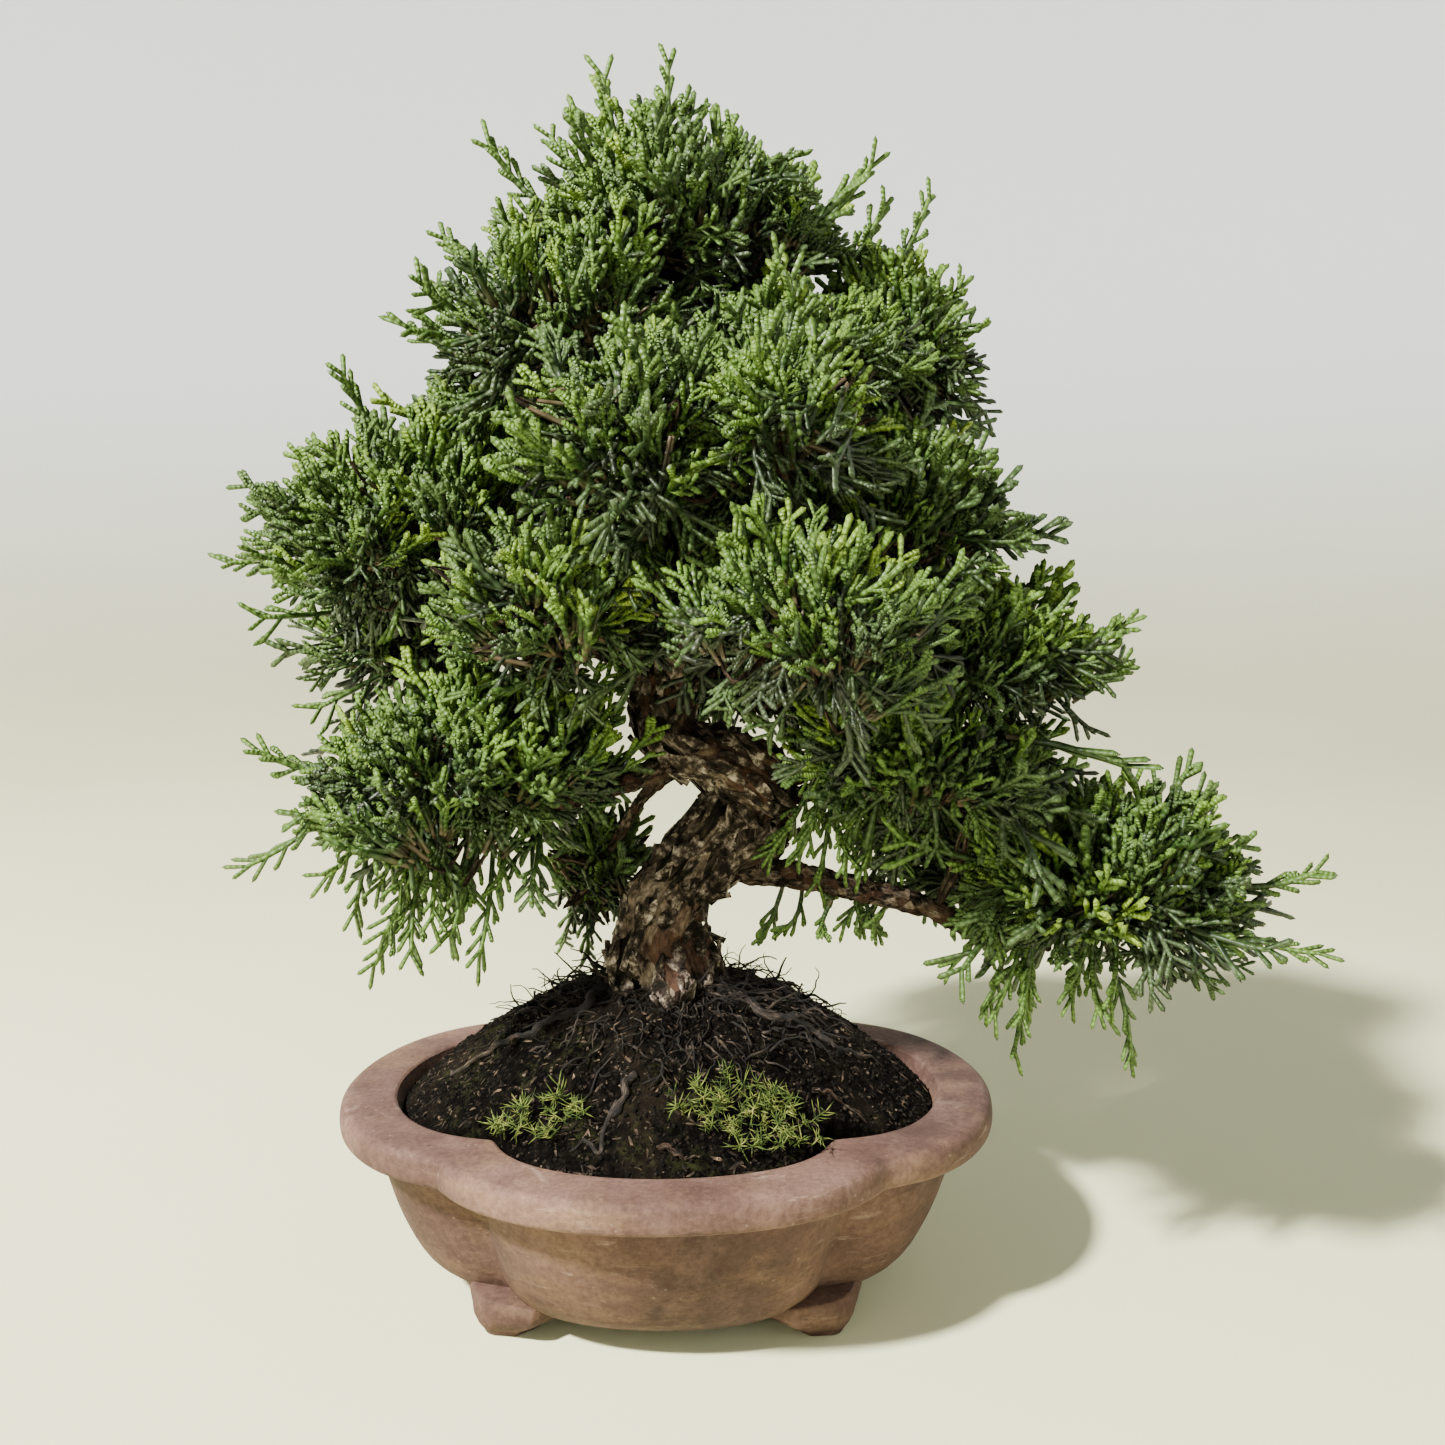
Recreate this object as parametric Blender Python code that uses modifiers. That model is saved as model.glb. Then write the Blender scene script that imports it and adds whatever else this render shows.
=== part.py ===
"""Juniper bonsai in a four-lobed oval pot: pot, drainage fittings, soil, wood and foliage pads.

Metres, +Z up. The pot's long side lies along X and its front faces -Y. The model is laid out on
the pot's axis and moved at the end, so that the origin is the centre of its footprint's box.
"""
import math

import bmesh
import bpy
from mathutils import Matrix, Vector, noise
from mathutils.bvhtree import BVHTree

MM = 0.001
GAP = 0.35 * MM              # clearance between pieces that touch
PAD_GAP = 0.7 * MM           # clearance between neighbouring foliage pads

# --- pot ---
POT_WIDTH = 190 * MM
POT_DEPTH = 168 * MM
POT_HEIGHT = 55 * MM
RIM_WIDTH = 16.7 * MM        # from the lip's outer edge to the mouth
LIP_OVERHANG = 10 * MM       # how far the lip stands out from the body
LIP_THICKNESS = 8.5 * MM
WALL = 6 * MM
FLOOR_THICKNESS = 6 * MM
BASE_INSET = 28.5 * MM       # how far the base lies inside the lip
FOOT_HEIGHT = 6 * MM
FOOT_WIDTH = 26 * MM
FOOT_REACH = 16 * MM
FOOT_BITE = 5.5 * MM         # how far a foot runs up into the pot's floor
LOBE_ANGLE = math.radians(48)
LOBE_SPREAD = math.radians(11.5)
LOBE_NOTCH = 6.5 * MM
SIDES = 60                   # steps round the pot, a whole number of them up to each notch
HOLE_RADIUS = 7 * MM
HOLE_SPACING = 52 * MM

# --- drainage screens, their clips and the tie-down wire ---
SCREEN_WIDTH = 20 * MM
SCREEN_THICKNESS = 1.2 * MM
SCREEN_STRIPS = 7            # strips and openings across a screen, counted together
SCREEN_REACH = 2             # strips from a screen's middle to the middle of its outer openings
CLIP_WIRE = 0.5 * MM         # wire radius
CLIP_TAIL = 7 * MM           # how far a clip's tails run past the drain hole, under the floor
TIE_WIRE = 0.75 * MM         # wire radius
TIE_DEPTH = 25 * MM          # how far the tie-down wire's twist lies below the mound's top
TIE_END = 7 * MM             # length of the twist's upright ends
TIE_ROOM = 9 * MM            # from the trunk's foot to the twist
TIE_KNEE = 8 * MM            # from a screen up to the wire's knee

# --- soil ---
SOIL_BELOW_RIM = 4.5 * MM
SOIL_SHRINK = 0.85 * MM      # gap between the soil and the pot's inner wall
MOUND_HEIGHT = 36.5 * MM
MOUND_LUMP = 1.6 * MM        # unevenness of the mound
MOUND_LUMP_SPAN = 16 * MM

# --- tree ---
TREE_HEIGHT = 250 * MM       # from the soil to the top of the crown's pad
TREE_DESIGN_HEIGHT = 250     # the height that the routes and pads below are drawn at, in mm
ROOT_DEPTH = 34 * MM         # how far the trunk's foot reaches into the soil
TRUNK_SIDES = 14
LIMB_SIDES = 10              # the trunk above its elbow
BRANCH_SIDES = 8
TWIG_SIDES = 6
TWIG_LIMIT = 3.5             # a route that starts thinner than this, in mm, has TWIG_SIDES
FLARE_SPAN = 26 * MM         # how far up the trunk its buttresses reach
FLARE_REACH = 3.5 * MM
BUTTRESSES = 5
PAD_SEGMENTS = 14
PAD_RINGS = 9
PAD_LUMP = 0.13              # unevenness of a pad, as a share of its size
PAD_UNDERSIDE = 0.85         # a pad's depth below its centre, as a share of that above it

# Routes are (x, y, height above the soil, radius) in mm, from the trunk outwards.
LOWER_TRUNK = [(-1, 0, -12, 17), (-1.5, 0, 0, 15.5), (-3, 0, 14, 12.5), (3.5, 1, 26, 11),
               (12, 3, 35.5, 11.5), (20, 4, 43.5, 12.5), (26, 3, 50.5, 12), (29, 1, 57, 8)]
UPPER_TRUNK = [(31, 2, 52, 8.5), (24, -3, 59, 10), (16, -8, 64.5, 9), (7, -10, 67, 8),
               (0, -8, 73.5, 8), (-1.3, -4, 86, 8), (1.5, 0, 104, 7.2), (6.6, 4, 132, 6),
               (9.5, 6, 160, 5), (9, 8, 194, 3.6), (7, 8, 222, 2.4)]
BRANCHES = {
    "branch_far_right": [(16, 3, 36, 5), (24, 2, 31, 4.6), (38, -2, 30, 4), (52, -8, 28, 3.6),
                         (72, -14, 24, 3.2), (93, -21, 17, 2.8), (112, -24, 20, 2.4), (126, -24, 26, 2)],
    "branch_right_middle": [(27, 2, 55, 4), (41, -1, 61, 3.4), (53, -5, 65, 3), (65, -10, 72, 2.6),
                            (73, -13, 84, 2.2), (77, -14, 98, 1.8)],
    "branch_right_back_low": [(26, 6, 47, 3), (41, 11, 52, 2.6), (55, 12, 51, 2.3), (72, 13, 46, 1.9),
                              (90, 15, 42, 1.5)],
    "branch_left_low": [(4, -9.5, 67, 3.8), (-8, -12, 60, 3.2), (-18, -15, 57, 2.8), (-34, -22, 55, 2.4),
                        (-50, -24, 63, 1.8)],
    "branch_back_hanging": [(8, -9, 66, 2.6), (2, 3, 60, 2.2), (-8, 15, 50, 1.9), (-16, 29, 36, 1.6),
                            (-22, 39, 26, 1.2)],
    "branch_left_middle": [(-1, -4, 88, 3.8), (-14, -8, 97, 3.2), (-32, -12, 111, 2.8),
                           (-52, -12, 123, 2.3), (-68, -12, 131, 1.8)],
    "branch_left_back": [(-1, -3, 91, 3), (-15, 7, 93, 2.6), (-38, 20, 98, 2.2), (-60, 30, 101, 1.8),
                         (-78, 34, 101, 1.5)],
    "branch_centre_left": [(0, -2, 97, 2.8), (-8, -18, 99, 2.3), (-17, -34, 104, 1.9), (-24, -44, 109, 1.4)],
    "branch_front_centre": [(1.5, 0, 106, 3), (10, -22, 103, 2.5), (22, -48, 102, 2), (34, -72, 106, 1.5)],
    "branch_back_low": [(-1, -3, 83, 3), (6, 15, 84, 2.5), (14, 38, 87, 2), (21, 60, 89, 1.5)],
    "branch_left_shoulder": [(8.5, 5.5, 146, 2.5), (-6, 8, 148, 2.1), (-22, 8, 153, 1.7),
                             (-38, 6, 158, 1.3)],
    "branch_back_right": [(4, 2, 117, 2.9), (21, 20, 120, 2.4), (42, 42, 126, 2), (58, 58, 131, 1.4)],
    "branch_centre_right": [(5, 3, 123, 3), (22, -6, 126, 2.5), (38, -15, 130, 2), (52, -20, 133, 1.5)],
    "branch_front_left": [(6, 3.5, 127, 2.6), (2, -18, 132, 2.1), (-3, -40, 142, 1.7), (-6, -58, 149, 1.3)],
    "branch_back_left": [(6, 4, 132, 2.8), (-8, 22, 134, 2.3), (-24, 42, 140, 1.9), (-36, 56, 145, 1.4)],
    "branch_front_right": [(8, 5, 140, 2.6), (13, -14, 143, 2.1), (21, -38, 149, 1.7), (28, -56, 154, 1.3)],
    "branch_upper_right": [(9, 6, 149, 2.8), (26, 10, 158, 2.3), (46, 15, 170, 1.8), (64, 18, 183, 1.3)],
    "branch_upper_left": [(9, 6, 155, 2.8), (-4, 0, 165, 2.3), (-16, -8, 178, 1.9), (-26, -12, 189, 1.4)],
    "branch_centre_upper": [(9.3, 7, 164, 2.4), (16, -6, 166, 2), (24, -15, 169, 1.6), (31, -22, 173, 1.3)],
    "branch_back_upper": [(9, 7, 172, 2.6), (13, 22, 176, 2.2), (17, 34, 180, 1.8), (19, 46, 184, 1.3)],
}

# Pads are (centre x, y, height above the soil), (half sizes along x, y, z), all in mm, and the
# angle in degrees by which a pad's right side is lifted.
PADS = {
    "foliage_crown": ((6, 6, 215), (48, 42, 27), 0),
    "foliage_upper_left": ((-24, -12, 188), (37, 33, 26), 10),
    "foliage_upper_right": ((67, 18, 180), (24, 27, 37), 12),
    "foliage_back_upper": ((19, 48, 182), (37, 29, 28), 0),
    "foliage_centre_upper": ((31, -22, 173), (33, 26, 21), 0),
    "foliage_left_shoulder": ((-42, 3, 161), (30, 25, 18), 15),
    "foliage_front_left": ((-6, -60, 150), (25, 21, 25), 0),
    "foliage_front_right": ((29, -58, 155), (25, 21, 22), 0),
    "foliage_left_middle": ((-69, -13, 130), (43, 37, 30), 18),
    "foliage_back_left": ((-38, 58, 144), (41, 33, 33), 0),
    "foliage_back_right": ((60, 60, 131), (41, 35, 33), 0),
    "foliage_centre": ((7, -36, 121), (23, 20, 27), 0),
    "foliage_centre_right": ((55, -20, 133), (36, 31, 24), -6),
    "foliage_right_middle": ((78, -14, 99), (43, 37, 25), -14),
    "foliage_front_centre": ((37, -78, 107), (29, 23, 21), 0),
    "foliage_centre_left": ((-26, -48, 109), (25, 22, 22), 0),
    "foliage_left_back": ((-80, 34, 101), (27, 25, 22), 0),
    "foliage_back_low": ((22, 64, 90), (39, 29, 24), 0),
    "foliage_right_low": ((72, -26, 70), (39, 31, 16), -6),
    "foliage_left_low": ((-53, -24, 63), (46, 37, 27), 14),
    "foliage_right_back_low": ((92, 16, 42), (33, 25, 18), -8),
    "foliage_far_right": ((122, -24, 29), (46, 37, 29), -8),
    "foliage_back_hanging": ((-23, 41, 25), (17, 15, 19), 0),
}

# What lies on the soil: (x, y) in mm, with z taken from the mound, and the radius in mm. The places are
# drawn for a mouth with these half sizes, and spread or draw in with the real one.
MOUTH_DESIGN = (78.3, 67.3)
ROOTS = {
    "surface_root_left": ([(-12, -6), (-24, -13), (-36, -18), (-50, -18), (-61, -15)], 1.5),
    "surface_root_front": ([(-7, -43), (-11, -50), (-16, -55), (-23, -57)], 1.1),
    "surface_root_right": ([(13, -7), (26, -13), (40, -17), (53, -15), (62, -10)], 1.4),
    "surface_root_right_back": ([(12, 8), (26, 12), (40, 17), (53, 24)], 1.2),
}
SLIVERS = {
    "bark_sliver": ([(0, -59), (4, -61), (9, -60.5)], 1.0),
    "fallen_twig": ([(40, -38), (47, -36), (55, -37)], 0.8),
}
MOSS = {
    "moss_tuft_left": ((-35, -49), (13, 6, 4)),
    "moss_tuft_right": ((23, -50), (17, 7, 4.5)),
}

COLOURS = {
    "clay": ((0.27, 0.18, 0.14), 0.75),
    "plastic_mesh": ((0.02, 0.02, 0.02), 0.6),
    "wire": ((0.45, 0.42, 0.38), 0.4),
    "soil": ((0.03, 0.022, 0.016), 0.95),
    "moss": ((0.2, 0.24, 0.06), 0.9),
    "bark": ((0.13, 0.09, 0.065), 0.9),
    "root": ((0.22, 0.15, 0.09), 0.85),
    "foliage": ((0.06, 0.16, 0.04), 0.7),
}


def clear_scene():
    for item in list(bpy.data.objects):
        bpy.data.objects.remove(item, do_unlink=True)


def new_collection(name):
    collection = bpy.data.collections.new(name)
    bpy.context.scene.collection.children.link(collection)
    return collection


def new_object(name, mesh, collection):
    item = bpy.data.objects.new(name, mesh)
    collection.objects.link(item)
    return item


def finish(item, kind, smooth=True):
    """Give a piece its own material and its shading."""
    colour, roughness = COLOURS[kind]
    material = bpy.data.materials.new(item.name + "_" + kind)
    material.use_nodes = True
    shader = material.node_tree.nodes["Principled BSDF"]
    shader.inputs["Base Color"].default_value = (*colour, 1)
    shader.inputs["Roughness"].default_value = roughness
    shader.inputs["Metallic"].default_value = 1 if kind == "wire" else 0
    item.data.materials.clear()
    item.data.materials.append(material)
    if smooth:
        item.data.shade_smooth()
        item.data.set_sharp_from_angle(angle=math.radians(40))
    return item


def mark_cutter(item):
    item.hide_render = True
    item.display_type = "WIRE"
    return item


def boolean(target, other, operation):
    modifier = target.modifiers.new(operation.lower() + "_" + other.name, "BOOLEAN")
    modifier.operation = operation
    modifier.solver = "EXACT"
    modifier.object = other


def surfaces_meet(first, second):
    """Say whether two mesh objects that stand unrotated at the origin cross each other."""
    trees = []
    for item in (first, second):
        shape = bmesh.new()
        shape.from_mesh(item.data)
        trees.append(BVHTree.FromBMesh(shape))
        shape.free()
    return bool(trees[0].overlap(trees[1]))


def bake(item):
    """Apply a piece's modifiers, and drop any crumb that its cuts have parted from it."""
    bpy.context.view_layer.update()
    graph = bpy.context.evaluated_depsgraph_get()
    mesh = bpy.data.meshes.new_from_object(item.evaluated_get(graph))
    item.modifiers.clear()
    item.data = mesh
    shape = bmesh.new()
    shape.from_mesh(mesh)
    islands = []
    unseen = set(shape.faces)
    while unseen:
        island = [unseen.pop()]
        for face in island:
            for edge in face.edges:
                linked = [near for near in edge.link_faces if near in unseen]
                unseen.difference_update(linked)
                island.extend(linked)
        islands.append(island)
    islands.sort(key=lambda faces: sum(face.calc_area() for face in faces))
    crumbs = [face for island in islands[:-1] for face in island]
    bmesh.ops.delete(shape, geom=crumbs, context="FACES")
    bmesh.ops.dissolve_degenerate(shape, dist=0.02 * MM, edges=shape.edges)
    shape.to_mesh(mesh)
    shape.free()


# ---------------------------------------------------------------- curves and tubes

def smooth_route(points, steps):
    """Catmull-Rom points through a route whose entries may carry a radius as well."""
    route = [Vector(point) for point in points]
    route = [route[0] * 2 - route[1]] + route + [route[-1] * 2 - route[-2]]
    result = []
    for index in range(1, len(route) - 2):
        before, start, end, after = route[index - 1:index + 3]
        for step in range(steps):
            t = step / steps
            result.append(0.5 * (2 * start + (end - before) * t
                                 + (2 * before - 5 * start + 4 * end - after) * t ** 2
                                 + (3 * start - before - 3 * end + after) * t ** 3))
    result.append(route[-2])
    return result


def tube(name, stations, collection, sides=BRANCH_SIDES, extra=0.0):
    """A capped tube through (x, y, z, radius) stations, in metres, made a closed mesh."""
    curve = bpy.data.curves.new(name, "CURVE")
    curve.dimensions = "3D"
    curve.bevel_depth = 1.0
    curve.bevel_resolution = (sides - 4) // 2
    curve.use_fill_caps = True
    spline = curve.splines.new("POLY")
    spline.points.add(len(stations) - 1)
    for point, (x, y, z, radius) in zip(spline.points, stations):
        point.co = (x, y, z, 1)
        point.radius = radius + extra
    holder = new_object(name, curve, collection)
    bpy.context.view_layer.update()
    graph = bpy.context.evaluated_depsgraph_get()
    mesh = bpy.data.meshes.new_from_object(holder.evaluated_get(graph))
    bpy.data.objects.remove(holder, do_unlink=True)
    bpy.data.curves.remove(curve)
    shape = bmesh.new()
    shape.from_mesh(mesh)
    bmesh.ops.remove_doubles(shape, verts=shape.verts, dist=0.01 * MM)
    bmesh.ops.recalc_face_normals(shape, faces=shape.faces)
    shape.to_mesh(mesh)
    shape.free()
    mesh.name = name
    return new_object(name, mesh, collection)


def wire(name, points, radius, collection, extra=0.0):
    """A wire of one radius through points in metres, bent in short curves."""
    corners = [Vector(point) for point in points]
    route = [corners[0]]
    for before, corner, after in zip(corners, corners[1:], corners[2:]):
        bend = min(2.2 * radius, (corner - before).length / 2, (after - corner).length / 2)
        route.append(corner + (before - corner).normalized() * bend)
        route.append(corner + (before + after - 2 * corner).normalized() * bend * 0.35)
        route.append(corner + (after - corner).normalized() * bend)
    route.append(corners[-1])
    # the ends of a clearance tube run on by the clearance as well
    route[0] = route[0] + (route[0] - route[1]).normalized() * extra
    route[-1] = route[-1] + (route[-1] - route[-2]).normalized() * extra
    return tube(name, [(*point, radius) for point in route], collection, extra=extra)


# ---------------------------------------------------------------- pot

def lobed_ring(inset, height, notch):
    """A ring of the pot's outline, moved inwards by inset, with its four notches."""
    half_width = POT_WIDTH / 2 - inset
    half_depth = POT_DEPTH / 2 - inset
    ring = []
    for step in range(SIDES):
        angle = 2 * math.pi * step / SIDES
        point = Vector((half_width * math.cos(angle), half_depth * math.sin(angle), 0))
        quarter = math.atan2(abs(math.sin(angle)), abs(math.cos(angle)))
        dip = notch * math.exp(-((quarter - LOBE_ANGLE) / LOBE_SPREAD) ** 2)
        point -= point.normalized() * dip
        point.z = height
        ring.append(point)
    return ring


def loft(name, rings, collection):
    """Close a stack of equal rings, given from the bottom centre round to the last one."""
    shape = bmesh.new()
    rows = [[shape.verts.new(point) for point in ring] for ring in rings]
    for lower, upper in zip(rows, rows[1:]):
        for index in range(len(lower)):
            after = (index + 1) % len(lower)
            shape.faces.new((lower[index], lower[after], upper[after], upper[index]))
    shape.faces.new(list(reversed(rows[0])))
    shape.faces.new(rows[-1])
    bmesh.ops.recalc_face_normals(shape, faces=shape.faces)
    mesh = bpy.data.meshes.new(name)
    shape.to_mesh(mesh)
    shape.free()
    return new_object(name, mesh, collection)


def inner_inset(height):
    """How far the pot's inner wall lies inside the lip's edge at a height."""
    floor = FOOT_HEIGHT + FLOOR_THICKNESS
    share = min(1, max(0, (height - floor) / (POT_HEIGHT - floor)))
    base = BASE_INSET + WALL
    return base + (RIM_WIDTH - base) * share ** 0.6


def make_pot(collection, cutters):
    top = POT_HEIGHT
    lip_low = top - LIP_THICKNESS
    base = FOOT_HEIGHT
    floor = base + FLOOR_THICKNESS
    body = LIP_OVERHANG
    body_drop = lip_low - base
    profile = [
        (BASE_INSET + 3 * MM, base, 0.6),
        (BASE_INSET, base + 1.2 * MM, 0.7),
        (body + (BASE_INSET - body) * 0.66, base + body_drop * 0.15, 0.8),
        (body + (BASE_INSET - body) * 0.34, base + body_drop * 0.42, 0.95),
        (body + (BASE_INSET - body) * 0.12, base + body_drop * 0.72, 1),
        (body, lip_low, 1),
        (body - 7 * MM, lip_low - 1 * MM, 0.95),
        (1.5 * MM, lip_low + 0.5 * MM, 0.9),
        (0, lip_low + LIP_THICKNESS * 0.42, 0.9),
        (0.8 * MM, top - 1.6 * MM, 0.9),
        (3 * MM, top - 0.3 * MM, 0.9),
        (RIM_WIDTH - 3 * MM, top, 1.05),
        (RIM_WIDTH, top - 2 * MM, 1.1),
    ]
    for share in (0.75, 0.45, 0.2, 0.05):
        height = floor + (top - floor) * share
        profile.append((inner_inset(height), height, 0.9))
    profile.append((BASE_INSET + WALL + 4 * MM, floor, 0.6))
    rings = [lobed_ring(inset, height, LOBE_NOTCH * share) for inset, height, share in profile]
    pot = loft("pot", rings, collection)

    foot_ring = lobed_ring(BASE_INSET + 3 * MM, 0, 0)
    for side_x in (-1, 1):
        for side_y in (-1, 1):
            step = round(LOBE_ANGLE / (2 * math.pi) * SIDES)
            corner = foot_ring[step]
            boolean(pot, make_foot(side_x * corner.x, side_y * corner.y, cutters), "UNION")
    for side in (-1, 1):
        name = "drain_bore_left" if side < 0 else "drain_bore_right"
        shape = bmesh.new()
        bmesh.ops.create_cone(shape, cap_ends=True, segments=24, radius1=HOLE_RADIUS,
                              radius2=HOLE_RADIUS, depth=4 * FLOOR_THICKNESS,
                              matrix=Matrix.Translation((side * HOLE_SPACING / 2, 0, base)))
        mesh = bpy.data.meshes.new(name)
        shape.to_mesh(mesh)
        shape.free()
        boolean(pot, mark_cutter(new_object(name, mesh, cutters)), "DIFFERENCE")
    return finish(pot, "clay")


def make_foot(x, y, cutters):
    """A cloud-shaped foot: a bevelled block, wider where it meets the pot."""
    shape = bmesh.new()
    bmesh.ops.create_cube(shape, size=1)
    height = FOOT_HEIGHT + FOOT_BITE
    turn = math.atan2(y, x)
    for vertex in shape.verts:
        low = vertex.co.z < 0
        vertex.co.x *= FOOT_REACH * (0.85 if low else 1.0)
        vertex.co.y *= FOOT_WIDTH * (0.72 if low else 1.0)
        vertex.co.z = 0 if low else height
    bmesh.ops.bevel(shape, geom=[edge for edge in shape.edges if abs(edge.verts[0].co.z - edge.verts[1].co.z)
                                 > height / 2], offset=2.5 * MM, segments=2, affect="EDGES", profile=0.5)
    bmesh.ops.transform(shape, matrix=Matrix.Translation((x, y, 0)) @ Matrix.Rotation(turn, 4, "Z"),
                        verts=shape.verts)
    bmesh.ops.recalc_face_normals(shape, faces=shape.faces)
    name = "foot_" + ("front" if y < 0 else "back") + ("_left" if x < 0 else "_right")
    mesh = bpy.data.meshes.new(name)
    shape.to_mesh(mesh)
    shape.free()
    return mark_cutter(new_object(name, mesh, cutters))


# ---------------------------------------------------------------- drainage fittings

def screen_base():
    return FOOT_HEIGHT + FLOOR_THICKNESS + GAP


def make_screen(name, centre_x, collection):
    """A square of plastic mesh: a grid with its openings left out, made solid."""
    shape = bmesh.new()
    bmesh.ops.create_grid(shape, x_segments=SCREEN_STRIPS, y_segments=SCREEN_STRIPS,
                          size=SCREEN_WIDTH / 2)
    pitch = SCREEN_WIDTH / SCREEN_STRIPS
    openings = []
    for face in shape.faces:
        middle = face.calc_center_median()
        column = math.floor((middle.x + SCREEN_WIDTH / 2) / pitch)
        row = math.floor((middle.y + SCREEN_WIDTH / 2) / pitch)
        if column % 2 == 1 and row % 2 == 1:
            openings.append(face)
    bmesh.ops.delete(shape, geom=openings, context="FACES")
    bmesh.ops.translate(shape, vec=(centre_x, 0, screen_base()), verts=shape.verts)
    mesh = bpy.data.meshes.new(name)
    shape.to_mesh(mesh)
    shape.free()
    screen = new_object(name, mesh, collection)
    solid = screen.modifiers.new("thickness", "SOLIDIFY")
    solid.thickness = SCREEN_THICKNESS
    solid.offset = 1
    return finish(screen, "plastic_mesh", smooth=False)


def opening_offset():
    """From a screen's middle to the middle of its outer openings."""
    return SCREEN_WIDTH / SCREEN_STRIPS * SCREEN_REACH


def clip_route(centre_x):
    """Over the screen, down through the drain hole and outwards under the floor."""
    leg = opening_offset()
    over = screen_base() + SCREEN_THICKNESS + GAP + CLIP_WIRE
    under = FOOT_HEIGHT - GAP - CLIP_WIRE
    tail = HOLE_RADIUS + CLIP_TAIL
    return [(centre_x, -tail, under), (centre_x, -leg, under), (centre_x, -leg, over),
            (centre_x, leg, over), (centre_x, leg, under), (centre_x, tail, under)]


def tie_route():
    """From one end beside the trunk down one hole, under the floor and up the other."""
    leg = HOLE_SPACING / 2 - opening_offset()
    under = FOOT_HEIGHT - GAP - TIE_WIRE
    low = screen_base() + SCREEN_THICKNESS + TIE_KNEE
    twist = mound_height(0, 0) - TIE_DEPTH
    front = -(LOWER_TRUNK[0][3] * MM * tree_scale() + TIE_ROOM)
    side = 2 * TIE_WIRE + GAP
    half = (front / 2, low + (twist - low) / 2)
    return [(-side, front, twist + TIE_END), (-side, front, twist), (-leg, *half), (-leg, 0, low),
            (-leg, 0, under), (leg, 0, under), (leg, 0, low), (leg, *half), (side, front, twist),
            (side, front, twist + TIE_END)]


# ---------------------------------------------------------------- soil

def soil_edge():
    return POT_HEIGHT - SOIL_BELOW_RIM


def mound_height(x, y):
    """Height of the soil: a dome from the pot's inner wall up to the trunk."""
    inset = inner_inset(soil_edge())
    reach = math.hypot(x / (POT_WIDTH / 2 - inset), y / (POT_DEPTH / 2 - inset))
    return soil_edge() + MOUND_HEIGHT * max(0, 1 - reach ** 2)


def make_soil(collection):
    floor = FOOT_HEIGHT + FLOOR_THICKNESS
    rings = [lobed_ring(BASE_INSET + WALL + 6 * MM, floor + GAP, LOBE_NOTCH * 0.6)]
    for share in (0.05, 0.3, 0.65):
        height = floor + (POT_HEIGHT - floor) * share
        rings.append(lobed_ring(inner_inset(height) + SOIL_SHRINK, height + GAP, LOBE_NOTCH * 0.95))
    edge_inset = inner_inset(soil_edge()) + SOIL_SHRINK
    edge = lobed_ring(edge_inset, soil_edge(), LOBE_NOTCH * 1.15)
    rings.append(edge)
    for share in (0.9, 0.7, 0.48, 0.24):
        ring = []
        for point in edge:
            x, y = point.x * share, point.y * share
            rough = noise.noise(Vector((x, y, 0)) / MOUND_LUMP_SPAN) * MOUND_LUMP * (1 - share ** 4)
            ring.append(Vector((x, y, mound_height(x, y) + rough)))
        rings.append(ring)
    return loft("soil", rings, collection)


def mouth_point(x, y):
    """A place drawn on the design mouth, in mm, moved to its place on the real one."""
    return (x * (POT_WIDTH / 2 - RIM_WIDTH) / MOUTH_DESIGN[0],
            y * (POT_DEPTH / 2 - RIM_WIDTH) / MOUTH_DESIGN[1])


def on_soil(route, radius, sunk, steps=3):
    """Stations of a thin piece that lies on the mound, sunk by a share of its radius."""
    stations = []
    for x, y in smooth_route([mouth_point(*point) for point in route], steps):
        stations.append((x, y, mound_height(x, y) + radius * (1 - sunk), radius))
    return stations


# ---------------------------------------------------------------- tree

def tree_scale():
    return TREE_HEIGHT / (TREE_DESIGN_HEIGHT * MM)


def tree_point(x, y, height):
    size = tree_scale() * MM
    return Vector((x * size, y * size, mound_height(0, 0) + height * size))


def wood_stations(route, steps=3):
    stations = []
    for x, y, height, radius in smooth_route(route, steps):
        stations.append((*tree_point(x, y, height), radius * MM * tree_scale()))
    return stations


def root_flare(item):
    """Swell the trunk's foot into buttresses that spread towards the surface roots."""
    foot = mound_height(0, 0)
    centre = tree_point(*LOWER_TRUNK[1][:3])
    for vertex in item.data.vertices:
        rise = vertex.co.z - foot
        if rise < FLARE_SPAN:
            share = (1 - max(0, rise) / FLARE_SPAN) ** 2
            out = vertex.co - Vector((centre.x, centre.y, vertex.co.z))
            lobes = 0.5 + 0.5 * math.cos(BUTTRESSES * math.atan2(out.y, out.x) + 0.6)
            vertex.co += out.normalized() * (share * lobes * FLARE_REACH)


def trunk_stations():
    lower = wood_stations(LOWER_TRUNK)
    foot = lower[0]
    root_end = (foot[0], foot[1], mound_height(0, 0) - ROOT_DEPTH, foot[3] * 0.8)
    return [root_end] + lower, wood_stations(UPPER_TRUNK)


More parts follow.
